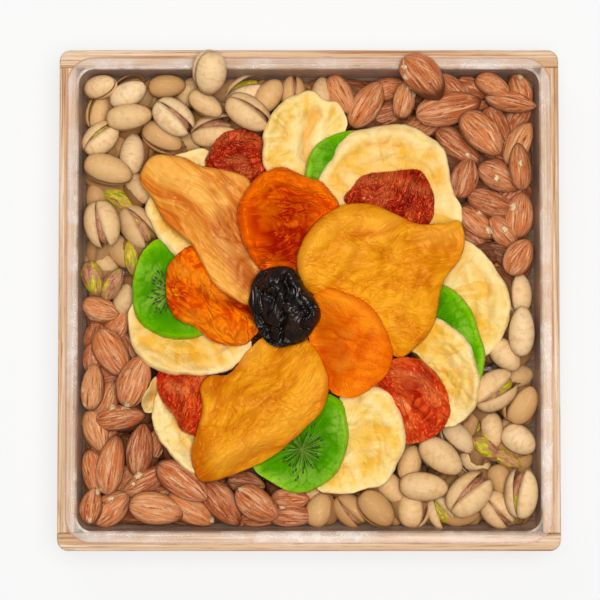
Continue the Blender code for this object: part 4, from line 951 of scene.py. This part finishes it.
def build_heap(place_name, kind, right, away):
    """One heap: a top layer laid at the heights of its solid, and the nuts beneath it."""
    node = nodes[f"{kind}_heap_{place_name}"]
    tree = solid_tree(node)
    piece = Piece(f"{kind}s_{place_name}")
    table, _, shares, slot = NUTS[kind]
    for x, y, length, width, heading, sink, *form in sorted(table[place_name], key=lambda row: row[5]):
        size = [part * STEP * share for part, share in zip((length, width, width), shares)]
        rough = spot(x, y, TOP_GUESS)
        hit = cast(tree, rough.x, rough.y, HEAP_RAY)
        near = fraction(WALL_NEAR - (wall_half(WALL_GUESS) - max(abs(rough.x), abs(rough.y))), WALL_FADE)
        sunk = sink > 1.5
        top = max(hit.z if hit else 0, HEAP_LEAST) + OVER_HEAP
        top += max(WALL_HIGH - top, 0) * near * (0.5 if sunk else 1)
        top -= sink * (1.3 if sunk else 0.8) * MM
        middle = keep_inside(spot(x, y, top - size[2] * 0.4), size, heading)
        middle.z = top - size[2] / 2
        tip = dice.uniform(-6, 6)
        # A random tone, lowered as painted shade the deeper the nut is sunk
        tone = dice.uniform(0.15, 0.95) * (1 - sink * 0.12)
        laid, place = Piece("one"), Matrix.Translation(middle)
        if kind == "almond":
            add_almond(laid, place @ pose(heading, tip, *form), size, tone, CHIPS)
        else:
            form, turn, gape, pitch = form or SHUT
            add_pistachio(laid, place @ pose(heading, tip - pitch), size, form, turn, gape, tone)
        points = np.vstack(laid.points)
        points[:, 2] -= min(max(cover.excess(points) - COVER_BITE, 0) * COVER_YIELD, COVER_MOST)
        cover.add(points)
        piece.add(points, laid.faces, laid.paints, **laid.spread())
    (first_x, pitch_x, columns), (first_y, pitch_y, rows) = GRID
    for z, tone in LAYERS:
        for i in range(columns):
            for j in range(rows):
                x = (first_x + i * pitch_x + (j % 2) * STAGGER) * right
                y = (first_y + j * pitch_y) * away
                middle = Vector((x + dice.uniform(-2, 2) * MM, y + dice.uniform(-2, 2) * MM,
                                 z + dice.uniform(-0.6, 0.6) * MM))
                add_hidden(piece, kind, middle, (0.82, 0.98), 0, (0, 180), tone)
    first, pitch, count = WALL_ROW
    for i in range(count):
        for turned in (0, 1):
            along = (first + i * pitch + dice.uniform(-2, 2) * MM, WALL_PLACE)
            middle = Vector((along[turned] * right, along[1 - turned] * away,
                             WALL_LAYER + dice.uniform(-1, 1) * MM))
            add_hidden(piece, kind, middle, (0.8, 0.95), 90 * turned, (-12, 12), WALL_TONE)
    piece.make("insert", slot, node.name)


# Dried fruit from the lowest piece to the highest: kind, heading of its fibres, and outline in the CAD's
# steps
FRUIT = {
    "apple_right": ("apple", 0, (
        (155, 61), (178, 46), (194, 23), (202, -4), (200, -26), (189, -47), (170, -60), (152, -54),
        (140, -32), (134, 0), (136, 30), (144, 52))),
    "kiwi_right": ("kiwi", 0, (
        (132, 14), (150, 5), (163, -12), (171, -36), (176, -55), (172, -80), (161, -94), (146, -88),
        (134, -66), (122, -40), (118, -10))),
    "apple_front_right": ("apple", 0, (
        (128, -17), (150, -32), (163, -51), (169, -74), (170, -92), (163, -111), (148, -125), (132, -127),
        (122, -110), (116, -90), (106, -74), (98, -56), (102, -38), (113, -24))),
    "prune_tucked_in": ("prune", 0, (
        (86, -61), (93, -54), (100, -51), (108, -55), (112, -63), (109, -75), (99, -81), (87, -77))),
    "plum_front_right": ("plum_bright", -60, (
        (83, -59), (111, -60), (131, -79), (141, -103), (139, -120), (126, -136), (103, -145), (90, -139),
        (82, -122), (74, -104), (66, -86), (70, -70))),
    "apple_front": ("apple", 0, (
        (75, -89), (92, -111), (98, -138), (91, -162), (76, -184), (52, -193), (24, -196), (8, -190),
        (12, -172), (22, -156), (26, -132), (26, -110), (36, -92), (56, -85))),
    "kiwi_front": ("kiwi", 0, (
        (20, -93), (34, -104), (40, -129), (38, -151), (27, -174), (8, -189), (-16, -193), (-40, -182),
        (-56, -168), (-52, -154), (-36, -140), (-18, -124), (-4, -106), (6, -94))),
    "apple_sliver": ("apple", 0, (
        (-154, -77), (-161, -87), (-166, -97), (-167, -107), (-164, -113), (-155, -112), (-143, -104),
        (-134, -90), (-135, -78), (-144, -73))),
    "apple_front_left": ("apple", 0, (
        (-152, -94), (-158, -112), (-155, -129), (-146, -146), (-134, -162), (-113, -176), (-101, -170),
        (-101, -148), (-104, -128), (-114, -110), (-126, -96), (-140, -89))),
    "plum_front_left": ("plum_bright", 70, (
        (-152, -76), (-143, -68), (-124, -66), (-104, -69), (-96, -86), (-96, -108), (-102, -127),
        (-112, -136), (-127, -131), (-137, -113), (-149, -96))),
    "apple_left": ("apple", 0, (
        (-180, -8), (-182, -24), (-176, -49), (-160, -68), (-138, -76), (-112, -76), (-84, -72), (-68, -61),
        (-58, -46), (-66, -34), (-90, -26), (-120, -22), (-148, -12), (-168, 2))),
    "kiwi_left": ("kiwi", 0, (
        (-153, 61), (-169, 46), (-177, 22), (-177, -5), (-168, -25), (-148, -38), (-124, -40), (-104, -34),
        (-100, -22), (-114, -6), (-125, 12), (-128, 36), (-134, 56))),
    "apple_back_left": ("apple", 0, (
        (-164, 93), (-161, 78), (-153, 65), (-144, 54), (-131, 42), (-110, 44), (-92, 60), (-80, 84),
        (-78, 108), (-84, 132), (-97, 149), (-112, 154), (-136, 146), (-152, 128))),
    "plum_back_left": ("plum", 10, (
        (-79, 172), (-62, 172), (-46, 163), (-38, 150), (-38, 134), (-46, 120), (-60, 115), (-82, 118),
        (-101, 127), (-106, 138), (-100, 152), (-90, 165))),
    "apple_back": ("apple", 0, (
        (-36, 191), (-20, 206), (2, 211), (18, 203), (30, 198), (38, 181), (36, 165), (27, 142), (8, 124),
        (-14, 118), (-34, 120), (-46, 135), (-48, 155), (-43, 176))),
    "kiwi_back": ("kiwi", 0, (
        (-4, 127), (1, 146), (12, 160), (30, 169), (51, 172), (60, 162), (50, 148), (36, 134), (26, 118),
        (16, 104), (5, 98), (-3, 112))),
    "apple_back_right": ("apple", 0, (
        (8, 119), (23, 143), (36, 163), (60, 174), (96, 177), (118, 169), (134, 155), (142, 137), (146, 110),
        (153, 92), (150, 72), (132, 64), (104, 66), (76, 78), (50, 85), (28, 86), (14, 96))),
    "plum_back_right": ("plum", 75, (
        (34, 101), (43, 113), (56, 125), (80, 129), (109, 131), (120, 119), (126, 101), (124, 82), (110, 70),
        (88, 76), (66, 86), (46, 90))),
    "apricot_left": ("apricot_rough", -45, (
        (-144, 10), (-141, 33), (-126, 50), (-112, 53), (-94, 38), (-74, 20), (-58, 5), (-50, -12),
        (-52, -32), (-67, -45), (-92, -44), (-115, -29), (-135, -17))),
    "pear_back_left": ("pear_pale", -45, (
        (-170, 121), (-158, 142), (-136, 145), (-109, 135), (-74, 127), (-58, 117), (-58, 92), (-56, 66),
        (-46, 36), (-46, 8), (-60, -6), (-80, 3), (-96, 16), (-108, 38), (-124, 60), (-143, 76),
        (-158, 102))),
    "apricot_back": ("cup", 0, (
        (-72, 88), (-64, 109), (-48, 126), (-24, 132), (-3, 123), (14, 116), (29, 94), (20, 76), (6, 58),
        (-4, 38), (-14, 22), (-32, 20), (-48, 28), (-62, 48), (-70, 71))),
    "pear_right": ("pear", 8, (
        (-13, 38), (-8, 56), (11, 80), (36, 94), (62, 95), (88, 85), (110, 76), (134, 76), (151, 78),
        (156, 60), (149, 38), (134, 18), (129, -6), (121, -30), (98, -56), (82, -55), (71, -36), (55, -17),
        (33, -4), (9, 1), (-7, 14))),
    "apricot_front_right": ("apricot", -20, (
        (43, -99), (66, -87), (80, -72), (83, -54), (75, -26), (60, -6), (36, 7), (14, 10), (2, 1), (1, -20),
        (0, -40), (7, -58), (13, -78), (24, -94))),
    "pear_front": ("pear", 45, (
        (-97, -76), (-82, -75), (-68, -60), (-58, -48), (-46, -38), (-30, -36), (-13, -36), (1, -42),
        (13, -59), (21, -84), (14, -110), (-4, -129), (-32, -154), (-64, -171), (-98, -182), (-112, -178),
        (-117, -150), (-108, -115), (-108, -86))),
    "prune_middle": ("prune", 60, (
        (-50, 25), (-32, 32), (-15, 28), (-2, 11), (9, -3), (12, -17), (5, -32), (-8, -44), (-32, -48),
        (-46, -39), (-56, -20), (-60, 0))),
}

# Relief of each kind: broad waves (height and breadth in mm), creases (depth, breadth, stretch along the
# fibres), how soft its rim is, how far its outline wavers (mm) and over what length, and the slot of its
# finish
RELIEF = {
    "apple": ((1.1, 9), (0.7, 7, 1), 0.18, (0.9, 7), "apple_ring"),
    "kiwi": ((0.3, 14), (0.05, 4, 1), 0.12, (0.4, 8), "kiwi_slice"),
    "plum": ((0.6, 7), (1.0, 4, 1.5), 0.26, (0.6, 6), "red_plum"),
    "plum_bright": ((0.6, 7), (1.0, 4, 1.5), 0.26, (0.6, 6), "red_plum"),
    "apricot": ((0.6, 8), (0.5, 7, 1.4), 0.22, (0.5, 8), "apricot_half"),
    "apricot_rough": ((0.9, 5), (1.5, 5, 1.3), 0.22, (0.7, 7), "apricot_half"),
    "cup": ((0.5, 8), (0.8, 5, 1.3), 0.2, (0.6, 7), "apricot_half"),
    "pear": ((0.7, 10), (0.5, 6, 1.3), 0.12, (0.5, 8), "pear_half"),
    "pear_pale": ((0.7, 9), (0.6, 5, 1.7), 0.12, (0.5, 8), "pear_half"),
    "prune": ((0.9, 8), (1.7, 5.5, 1.4), 0.28, (0.8, 9), "prune"),
}
# The kinds whose creases get much more painted shade than the rest of them
WRINKLED = ("plum", "plum_bright", "apricot", "apricot_rough", "cup")

# The core about which a slice's rings and rays run, in the CAD's steps, where it isn't the outline's middle
CORES = {
    "kiwi_left": (-138, 9), "kiwi_front": (-7, -150), "kiwi_right": (112, -44), "kiwi_back": (44, 132),
    "apple_back_right": (82, 108), "apple_left": (-116, -8), "apple_front_left": (-98, -118),
    "apple_right": (126, 4), "apple_front_right": (112, -76), "apple_front": (34, -138),
    "apple_back": (-2, 158), "apple_back_left": (-104, 100), "apple_sliver": (-120, -96),
}

# Folds and blushes: depth in mm, width in pixels, how much darker the colour turns, the fruit's own colour in
# blushes and hollows and painted shade in pressed folds, or paler where the depth is below 0 and the fold
# stands up, a painted highlight, and the line of pixels they follow
FOLDS = {
    "apricot_left": (
        (1.6, 7, 0.9, (200, 288), (215, 298), (235, 303), (252, 309)),
        (0.8, 5, 0.5, (172, 300), (190, 312), (215, 325), (245, 338)),
        (-0.8, 9, 0.5, (180, 270), (200, 278), (225, 292)),
        (-0.8, 10, 0.3, (190, 318), (220, 332), (245, 335)),
        (0.6, 4, 0.6, (178, 262), (176, 285), (184, 310)),
    ),
    "apricot_front_right": (
        (0.8, 16, 0.55, (330, 380), (338, 350), (330, 330)),
        (-0.5, 10, 0.3, (330, 300), (360, 305), (380, 330)),
        (0.5, 5, 0.35, (345, 372), (362, 350), (372, 330)),
    ),
    "apricot_back": (
        (1.6, 24, 1.0, (287, 218), (290, 240), (284, 258)), (0.4, 17, 0.5, (296, 232), (296, 250)),
        (-0.8, 8, 0.3, (243, 210), (244, 240), (254, 268)),
        (-1.0, 8, 0.5, (248, 190), (270, 174), (300, 176), (325, 190)),
        (0.8, 3, 0.6, (258, 208), (268, 194), (290, 186), (312, 192)),
        (0.6, 3, 0.6, (262, 182), (280, 172), (306, 174)), (0.6, 3, 0.5, (240, 196), (252, 184)),
    ),
    "apple_back": (
        (2.2, 5, 0.75, (316, 112), (308, 128), (306, 150), (310, 172)),
        (0.8, 4, 0.35, (292, 120), (280, 150)), (-0.9, 6, 0.6, (323, 118), (319, 150)),
        (-0.8, 6, 0.5, (298, 112), (296, 150)),
    ),
    "apple_back_right": (
        (0, 26, 0.3, (345, 190), (365, 158), (405, 145), (440, 175)),
        (1.0, 4, 0.5, (330, 182), (345, 160), (372, 146), (405, 148)),
        (0.8, 3, 0.4, (345, 185), (360, 166), (390, 158), (425, 166), (440, 190)),
        (-0.8, 6, 0.6, (338, 150), (362, 134), (400, 132), (430, 145)),
        (0.6, 4, 0.4, (432, 150), (445, 180), (450, 210)),
    ),
    "apple_left": (
        (0, 20, 0.3, (140, 325), (165, 350), (215, 352)),
        (0.9, 4, 0.4, (142, 340), (160, 352), (190, 356), (222, 350)),
        (0.7, 3, 0.3, (150, 356), (180, 368), (215, 366)), (-0.7, 6, 0.5, (140, 350), (165, 366), (205, 372)),
    ),
    "apple_right": (
        (0.9, 4, 0.4, (470, 262), (486, 285), (488, 315)), (0.7, 3, 0.35, (462, 275), (476, 300), (472, 330)),
        (-0.7, 6, 0.5, (484, 262), (498, 290), (498, 320)),
    ),
    "apple_front": (
        (0.7, 4, 0.35, (345, 440), (362, 425), (385, 430)), (0.6, 3, 0.3, (340, 470), (365, 465), (388, 450)),
        (-0.6, 6, 0.4, (350, 400), (375, 405), (395, 425)),
    ),
    "apple_front_left": (
        (0.9, 4, 0.45, (168, 400), (176, 425), (192, 450)), (0.7, 4, 0.4, (178, 418), (196, 438), (205, 462)),
        (-0.7, 5, 0.5, (160, 405), (166, 432), (182, 458)),
    ),
    "apple_sliver": ((0.8, 4, 0.5, (148, 385), (152, 400)),),
    "pear_back_left": (
        (1.0, 5, 0.55, (222, 175), (236, 200), (246, 235), (252, 270)),
        (0.7, 5, 0.45, (205, 178), (222, 205), (234, 245)),
        (-0.8, 9, 0.1, (150, 165), (185, 185), (220, 230), (240, 280)),
        (0.4, 4, 0.3, (160, 185), (190, 210), (215, 255)),
        (0.3, 17, 0.95, (226, 222), (237, 248), (248, 278)),
    ),
    "pear_right": (
        (1.0, 5, 0.4, (385, 258), (400, 240), (425, 232), (455, 236)),
        (0.8, 5, 0.35, (330, 290), (350, 272), (362, 250)),
        (-0.9, 10, 0.4, (300, 262), (320, 235), (350, 218), (385, 222)),
        (0.6, 4, 0.3, (395, 330), (405, 300), (425, 275)), (-0.6, 10, 0.5, (425, 235), (455, 232)),
        (0.5, 4, 0.35, (340, 232), (370, 240), (395, 262)),
    ),
    "pear_front": (
        (0.9, 8, 0.75, (196, 440), (199, 465), (204, 480)), (1.0, 6, 0.7, (210, 390), (228, 372), (250, 352)),
        (0.7, 5, 0.4, (230, 430), (262, 410), (292, 380)),
        (-0.9, 12, 0.45, (222, 460), (262, 440), (300, 410), (318, 380)),
        (0.5, 4, 0.35, (225, 400), (255, 378), (285, 358)),
    ),
    "prune_middle": (
        (1.8, 4, 0.3, (262, 290), (276, 300), (284, 320), (282, 340)),
        (1.6, 4, 0.3, (285, 275), (292, 295), (306, 312)), (1.2, 3, 0.3, (256, 315), (268, 325), (272, 345)),
        (-1.2, 6, 0.1, (272, 284), (284, 305), (296, 325)),
    ),
    "apple_front_right": (
        (0.5, 2.5, 0.95, (443, 370), (446, 375)), (0.6, 4, 0.3, (420, 345), (440, 350), (458, 375)),
        (0.6, 3, 0.3, (450, 345), (468, 370), (470, 400)),
    ),
    "plum_front_left": ((-0.5, 6, 0.5, (170, 385), (185, 392)), (0.8, 4, 0.6, (180, 380), (182, 430)),),
    "plum_front_right": (
        (-0.5, 5, 0.4, (395, 372), (420, 378), (435, 400)), (0.9, 4, 0.5, (400, 395), (420, 410), (432, 430)),
    ),
    "plum_back_left": ((-0.5, 6, 0.35, (215, 140), (235, 133), (258, 142)),),
    "plum_back_right": ((-0.5, 6, 0.35, (365, 180), (395, 178), (425, 190)),),
}

# Kiwi seeds: pixel right and down, how far and by what turn each has a smaller one beside it, and their sizes
SEEDS = {
    "kiwi_left": (
        (158, 272), (156, 278), (154, 284), (153, 291), (152, 298), (154, 304), (157, 309), (161, 313),
        (163, 275), (161, 282), (159, 288), (158, 295), (159, 302), (164, 308), (167, 283), (165, 290),
        (164, 298), (169, 304),
    ),
    "kiwi_front": (
        (290, 465), (296, 470), (303, 472), (311, 465), (317, 448), (312, 426), (285, 458), (318, 457),
        (307, 434), (283, 450), (292, 441), (299, 432), (322, 440), (306, 420), (298, 477),
    ),
}
SEED_SHIFT = 3.6
SEED_TURN = 137.5
SEED_GIRTH = (0.85 * MM, 0.6 * MM)
SMALL_SEED = (1.5 * MM, 0.7 * MM, 0.5 * MM)

# The grid of a fruit: points round, rings, how they crowd, the hub's share, how far out rays are sure to
# meet the solid, and steps between two points of an outline
SIDES, RINGS = 150, 44
CROWDING = 0.85
HUB = 0.004
RAYS_WITHIN = 0.9
CURVE_STEPS = 12
# How often the heights of rim and skin are evened out, a point's own share in that and each neighbour's, the
# shares of top and underside in the rim's height, and the least thickness
RIM_ROUNDS, SKIN_ROUNDS = 12, 36
OWN_SHARE, NEXT_SHARE = 0.4, 0.15
TOP_SHARE, UNDER_SHARE = 0.45, 0.55
LEAST_THICK = 1.2 * MM
# Creases darken with painted shade from this height of their net, by this share or, on wrinkled kinds, the
# greater one. Swells pale with a painted highlight and creases take from it, up to a most
CREASE_FROM, CREASE_SHADE, WRINKLE_SHADE = 0.5, 0.12, 0.45
SWELL_HIGHLIGHT, CREASE_PALE, MOST_PALE = 0.5, 0.3, 0.5
# How far folds stray (pixels), the length of their bends, and the width from which they end more sharply
FOLD_WAVER, FOLD_BENDS = 2.5, 5 * MM
BROAD = 15
# The faint rings of slices: how high they stand, how close they come on each kind, how far an apple's bend
# and where they begin, and where its pale rim begins and how pale it is
RINGLET = 0.12 * MM
APPLE_RINGS, APPLE_BEND, KIWI_RINGS = 16, 6, 22
RINGS_FROM, RIM_FROM, RIM_PALE = 0.3, 0.84, 0.7
# How much of its waver a rim shows, how far the flesh's own coordinates stray and over what length
RIM_WAVER = 0.85
FLESH_WAVER, FLESH_BENDS = 5 * MM, 13 * MM


def smooth_outline(points, count):
    """A smooth closed curve through the points, divided evenly."""
    size, fine = len(points), []
    for i in range(size):
        a, b, c, d = (points[(i + k) % size] for k in (-1, 0, 1, 2))
        for k in range(CURVE_STEPS):
            t = k / CURVE_STEPS
            fine.append(0.5 * ((2 * b) + (c - a) * t + (2 * a - 5 * b + 4 * c - d) * t ** 2
                               + (3 * b - a - 3 * c + d) * t ** 3))
    fine = np.array(fine)
    along = np.concatenate(([0], np.cumsum(np.linalg.norm(np.roll(fine, -1, axis=0) - fine, axis=1))))
    closed = np.vstack((fine, fine[:1]))
    marks = np.arange(count) / count * along[-1]
    return np.column_stack([np.interp(marks, along, closed[:, axis]) for axis in (0, 1)])


def line_distance(points, line):
    """How far points are from a line of points."""
    best = np.full(len(points), 1e9)
    for a, b in zip(line, line[1:]):
        a, b = np.array(a, float), np.array(b, float)
        part = np.clip((points - a) @ (b - a) / ((b - a) @ (b - a)), 0, 1)
        best = np.minimum(best, np.linalg.norm(points - a - part[:, None] * (b - a), axis=1))
    return best


def ease(grid, rounds):
    """Evens out a grid of rings, which close on themselves."""
    for _ in range(rounds):
        padded = np.vstack((grid[:1], grid, grid[-1:]))
        around = padded[:-2] + padded[2:] + np.roll(grid, 1, 1) + np.roll(grid, -1, 1)
        grid = OWN_SHARE * grid + NEXT_SHARE * around
        grid[0] = grid[0].mean()
    return grid


def heights(node, spots, reach):
    """The evened heights of a solid's top and underside at rings of spots, and of its rim between them."""
    tree = solid_tree(node)
    top, low = np.zeros((RINGS, SIDES)), np.zeros((RINGS, SIDES))
    for j in range(SIDES):
        last = None
        for i in range(RINGS):
            if reach[i] < RAYS_WITHIN:
                up, down = cast(tree, *spots[i, j]), cast(tree, *spots[i, j], BELOW)
                if up and down:
                    last = (up.z, down.z)
            top[i, j], low[i, j] = last
    rim = ease(np.tile(top[-1] * TOP_SHARE + low[-1] * UNDER_SHARE, (3, 1)), RIM_ROUNDS)[1]
    return ease(top, SKIN_ROUNDS), ease(low, SKIN_ROUNDS), rim


def slice_faces():
    """Faces over the top of a slice, beneath it down from the same rim, and a lid over each hub."""
    count = RINGS * SIDES
    above = tube(RINGS, SIDES)
    beneath = np.where(above >= count - SIDES, above, above + count)
    return ([tuple(face) for face in above] + [tuple(reversed(range(SIDES)))]
            + [tuple(face[::-1]) for face in beneath] + [tuple(range(count, count + SIDES))])


def wander(points, size, seed, octaves=1):
    """Noise in both directions at flat points, and none upwards."""
    both = [rough_noise(points / size, octaves, seed + i) for i in (0, 1)]
    return np.column_stack(both + [np.zeros(len(points))])


def add_seeds(piece, pixels, skin, core, height):
    """Seeds of a kiwi slice, which point at its core."""
    def add(x, y, size):
        rough = spot(x, y, height)
        hit = cast(skin, rough.x, rough.y)
        if hit:
            towards = math.degrees(math.atan2(rough.y - core[1], rough.x - core[0]))
            seed, faces, _ = almond_mesh(size or (dice.uniform(1.6, 2.3) * MM, *SEED_GIRTH), 0)
            piece.add(moved(seed, Matrix.Translation(hit) @ pose(towards + 180)), faces, "seed")

    for x, y in pixels:
        add(x, y, None)
    # A second, smaller seed by each, which leaves the other random draws as they are
    kept = dice.getstate()
    for i, (x, y) in enumerate(pixels):
        turned = math.radians(i * SEED_TURN)
        add(x + SEED_SHIFT * math.cos(turned), y + SEED_SHIFT * math.sin(turned), SMALL_SEED)
    dice.setstate(kept)


def add_folds(name, pixels, relief, deep_and_shade, pale):
    """Presses a fruit's own folds into its relief or raises them, and marks them darker where pressed, partly
    painted shade, or paler where raised, partly painted highlight.
    """
    for depth, wide, strength, *line in FOLDS.get(name, ()):
        near = np.exp(-(line_distance(pixels, line) / wide) ** (4 if wide > BROAD else 2))
        relief -= depth * MM * near
        mark = pale if depth < 0 else deep_and_shade
        np.maximum(mark, strength * near, out=mark)


def wavered(spots, edge, middle, reach, waver, span, seed):
    """Rings of spots that stray out and in, most of all at the rim."""
    wobble = rough_noise(np.column_stack((edge / (span * MM), np.zeros(SIDES))), 3, seed)
    wobble = waver * RIM_WAVER * MM * wobble
    outward = (edge - middle) / np.linalg.norm(edge - middle, axis=1)[:, None]
    return spots + (outward * wobble[:, None])[None] * (reach ** 4)[:, None, None]


def build_fruit(name, kind, heading, outline, number):
    """One fruit: its outline at its solid's heights, with waves, creases, folds and a soft, wavering rim."""
    (wave, breadth), (crease, width, stretch), soft, (waver, span), slot = RELIEF[kind]
    edge = smooth_outline(np.array(outline, float) * STEP, SIDES)
    middle = edge.mean(axis=0)
    reach = np.linspace(0, 1, RINGS) ** CROWDING
    reach[0] = HUB
    spots = middle + (edge - middle)[None] * reach[:, None, None]
    top, low, rim = heights(nodes[name], spots, reach)
    flat = spots.reshape(-1, 2)
    angle = math.radians(heading)
    flesh = np.column_stack((flat @ np.array((math.cos(angle), math.sin(angle))) / stretch,
                             flat @ np.array((-math.sin(angle), math.cos(angle))), np.zeros(len(flat))))
    seed = number * 7
    body = rough_noise(flesh / (breadth * MM), 2, seed)
    warp = wander(flesh, width * 2 * MM, seed + 3, 2)
    net = ridges(flesh / (width * MM) + warp * 0.5, 1 if kind == "prune" else 2, seed + 5)
    relief = (wave * body - crease * net) * MM
    # Creases get painted shade and swells a painted highlight
    deep_and_shade = np.clip(net - CREASE_FROM, 0, 1) * (WRINKLE_SHADE if kind in WRINKLED else CREASE_SHADE)
    pale = np.clip(body * SWELL_HIGHLIGHT - net * CREASE_PALE, 0, MOST_PALE)
    pixels = seen(np.column_stack((flat, top.ravel()))) + FOLD_WAVER * wander(flesh, FOLD_BENDS, 91)[:, :2]
    add_folds(name, pixels, relief, deep_and_shade, pale)
    core = np.array(CORES.get(name, middle / STEP)) * STEP
    away = np.linalg.norm(flat - core, axis=1)
    flow = away / (away + line_distance(flat, np.vstack((edge, edge[:1]))) + 1e-6)
    if kind == "apple":
        rings = RINGLET * np.sin(flow * APPLE_RINGS + APPLE_BEND * body)
        relief += rings * np.clip((flow - RINGS_FROM) * 3, 0, 1)
        pale = np.maximum(pale, np.clip((flow - RIM_FROM) * 5, 0, RIM_PALE))
    if kind == "kiwi":
        relief += RINGLET * np.sin(flow * KIWI_RINGS)
    relief = relief.reshape(RINGS, SIDES)
    shape = np.sqrt(np.clip(1 - (np.clip(reach - (1 - soft), 0, 1) / soft) ** 2, 0, 1))[:, None]
    up = rim + (top + relief - rim) * shape
    down = rim + (np.minimum(low, top + relief - LEAST_THICK) - rim) * shape
    spots = wavered(spots, edge, middle, reach, waver, span, number + 60)
    points = np.vstack((np.column_stack((spots.reshape(-1, 2), up.ravel())),
                        np.column_stack((spots[:-1].reshape(-1, 2), down[:-1].ravel()))))
    faces = slice_faces()
    cover.add(points[RINGS * SIDES:])
    turn = np.arctan2(*(flat - core).T[::-1])
    polar = np.column_stack((np.cos(turn) + number, np.sin(turn), flow))
    flesh = flesh + FLESH_WAVER * wander(flesh, FLESH_BENDS, 51) + number * 0.1
    values = {"deep_and_shade": np.clip(deep_and_shade, 0, 1), "pale": np.clip(pale, 0, 1), "flesh": flesh, "polar": polar,
              "reach": flow}
    piece = Piece(name + "_flesh")
    piece.add(points, faces, kind, **{key: np.concatenate((value, value[:-SIDES]))
                                      for key, value in values.items()})
    if name in SEEDS:
        skin = BVHTree.FromPolygons([Vector(p) for p in points], faces)
        add_seeds(piece, SEEDS[name], skin, core, float(top.mean()))
    piece.make("insert", slot, name)


for number, (name, (kind, heading, outline)) in enumerate(FRUIT.items()):
    build_fruit(name, kind, heading, outline, number)
build_loose()
build_heap("back_left", "pistachio", -1, 1)
build_heap("back_right", "almond", 1, 1)
build_heap("front_right", "pistachio", 1, -1)
build_heap("front_left", "almond", -1, -1)


# Stage, light and camera: the floor's half side and height, its grey and glow as the camera sees it and its
# grey in other light, the world's light, and the lamps' tint and aim
FLOOR_HALF, FLOOR_LEVEL = 3, -0.0003
FLOOR_GREY, FLOOR_GLOW, FLOOR_BOUNCE = 0.26, 0.693, 0.8
WORLD_LIGHT = 0.22
LAMP_TINT = (1.0, 1.0, 0.995)
LAMPS_AIM = Vector((0, 0, 0.03))


def build_stage():
    """A pale floor and world that look white to the camera and in reflections, and light all plainly."""
    make = Paint("backdrop_paint")
    rays, glossy, through = (make.node("LightPath", out=f"Is {kind} Ray")
                             for kind in ("Camera", "Glossy", "Transmission"))
    shown = make.sum(make.sum(rays, glossy, "MAXIMUM"), through, "MAXIMUM")
    tint = make.mix(make.noise(make.place(), 6), rgb(252, 252, 252), rgb(253, 253, 253))
    lit, plain = (make.node("BsdfDiffuse", {"Color": (grey, grey, grey, 1)})
                  for grey in (FLOOR_GREY, FLOOR_BOUNCE))
    glow = make.node("Emission", {"Color": tint, "Strength": FLOOR_GLOW})
    bright = make.node("AddShader", {0: lit, 1: glow})
    final = make.node("MixShader", {0: shown, 1: plain, 2: bright})
    make.tree.links.new(final, make.tree.nodes["Material Output"].inputs["Surface"])
    mesh = bpy.data.meshes.new("floor")
    points = [(x * FLOOR_HALF, y * FLOOR_HALF, FLOOR_LEVEL) for x, y in ((-1, -1), (1, -1), (1, 1), (-1, 1))]
    mesh.from_pydata(points, [], [(0, 1, 2, 3)])
    mesh.materials.append(make.material)
    floor = in_scene("floor", mesh)
    world = bpy.data.worlds.new("studio")
    world.use_nodes = True
    links, parts = world.node_tree.links, world.node_tree.nodes
    shade = parts["Background"]
    shade.inputs["Color"].default_value = (*LAMP_TINT, 1)
    shade.inputs["Strength"].default_value = WORLD_LIGHT
    clean = parts.new("ShaderNodeBackground")
    clean.inputs["Color"].default_value = (1, 1, 1, 1)
    mix = parts.new("ShaderNodeMixShader")
    path = parts.new("ShaderNodeLightPath")
    links.new(path.outputs["Is Camera Ray"], mix.inputs[0])
    links.new(shade.outputs[0], mix.inputs[1])
    links.new(clean.outputs[0], mix.inputs[2])
    links.new(mix.outputs[0], parts["World Output"].inputs["Surface"])
    bpy.context.scene.world = world


def build_lamp(name, place, size, power):
    """A round soft lamp that points at the tray."""
    data = bpy.data.lights.new(name, "AREA")
    data.shape, data.size, data.energy, data.color = "DISK", size, power, LAMP_TINT
    lamp = in_scene(name, data)
    lamp.location = place
    lamp.rotation_euler = (LAMPS_AIM - Vector(place)).to_track_quat("-Z", "Y").to_euler()


build_stage()
build_lamp("key", (0.08, -0.02, 1.2), 0.62, 11.6)
build_lamp("fill", (-0.35, 0.6, 0.9), 0.6, 1.6)

view = bpy.data.cameras.new("camera")
view.sensor_width, view.lens = SENSOR, CAMERA_FOCUS / PICTURE * SENSOR
view.clip_start, view.clip_end = 0.01, 20
camera = in_scene("camera", view)
camera.location = CAMERA_PLACE
camera.rotation_euler = (CAMERA_TIP, 0, 0)
bpy.context.scene.camera = camera
bpy.context.scene.view_settings.view_transform = "Standard"
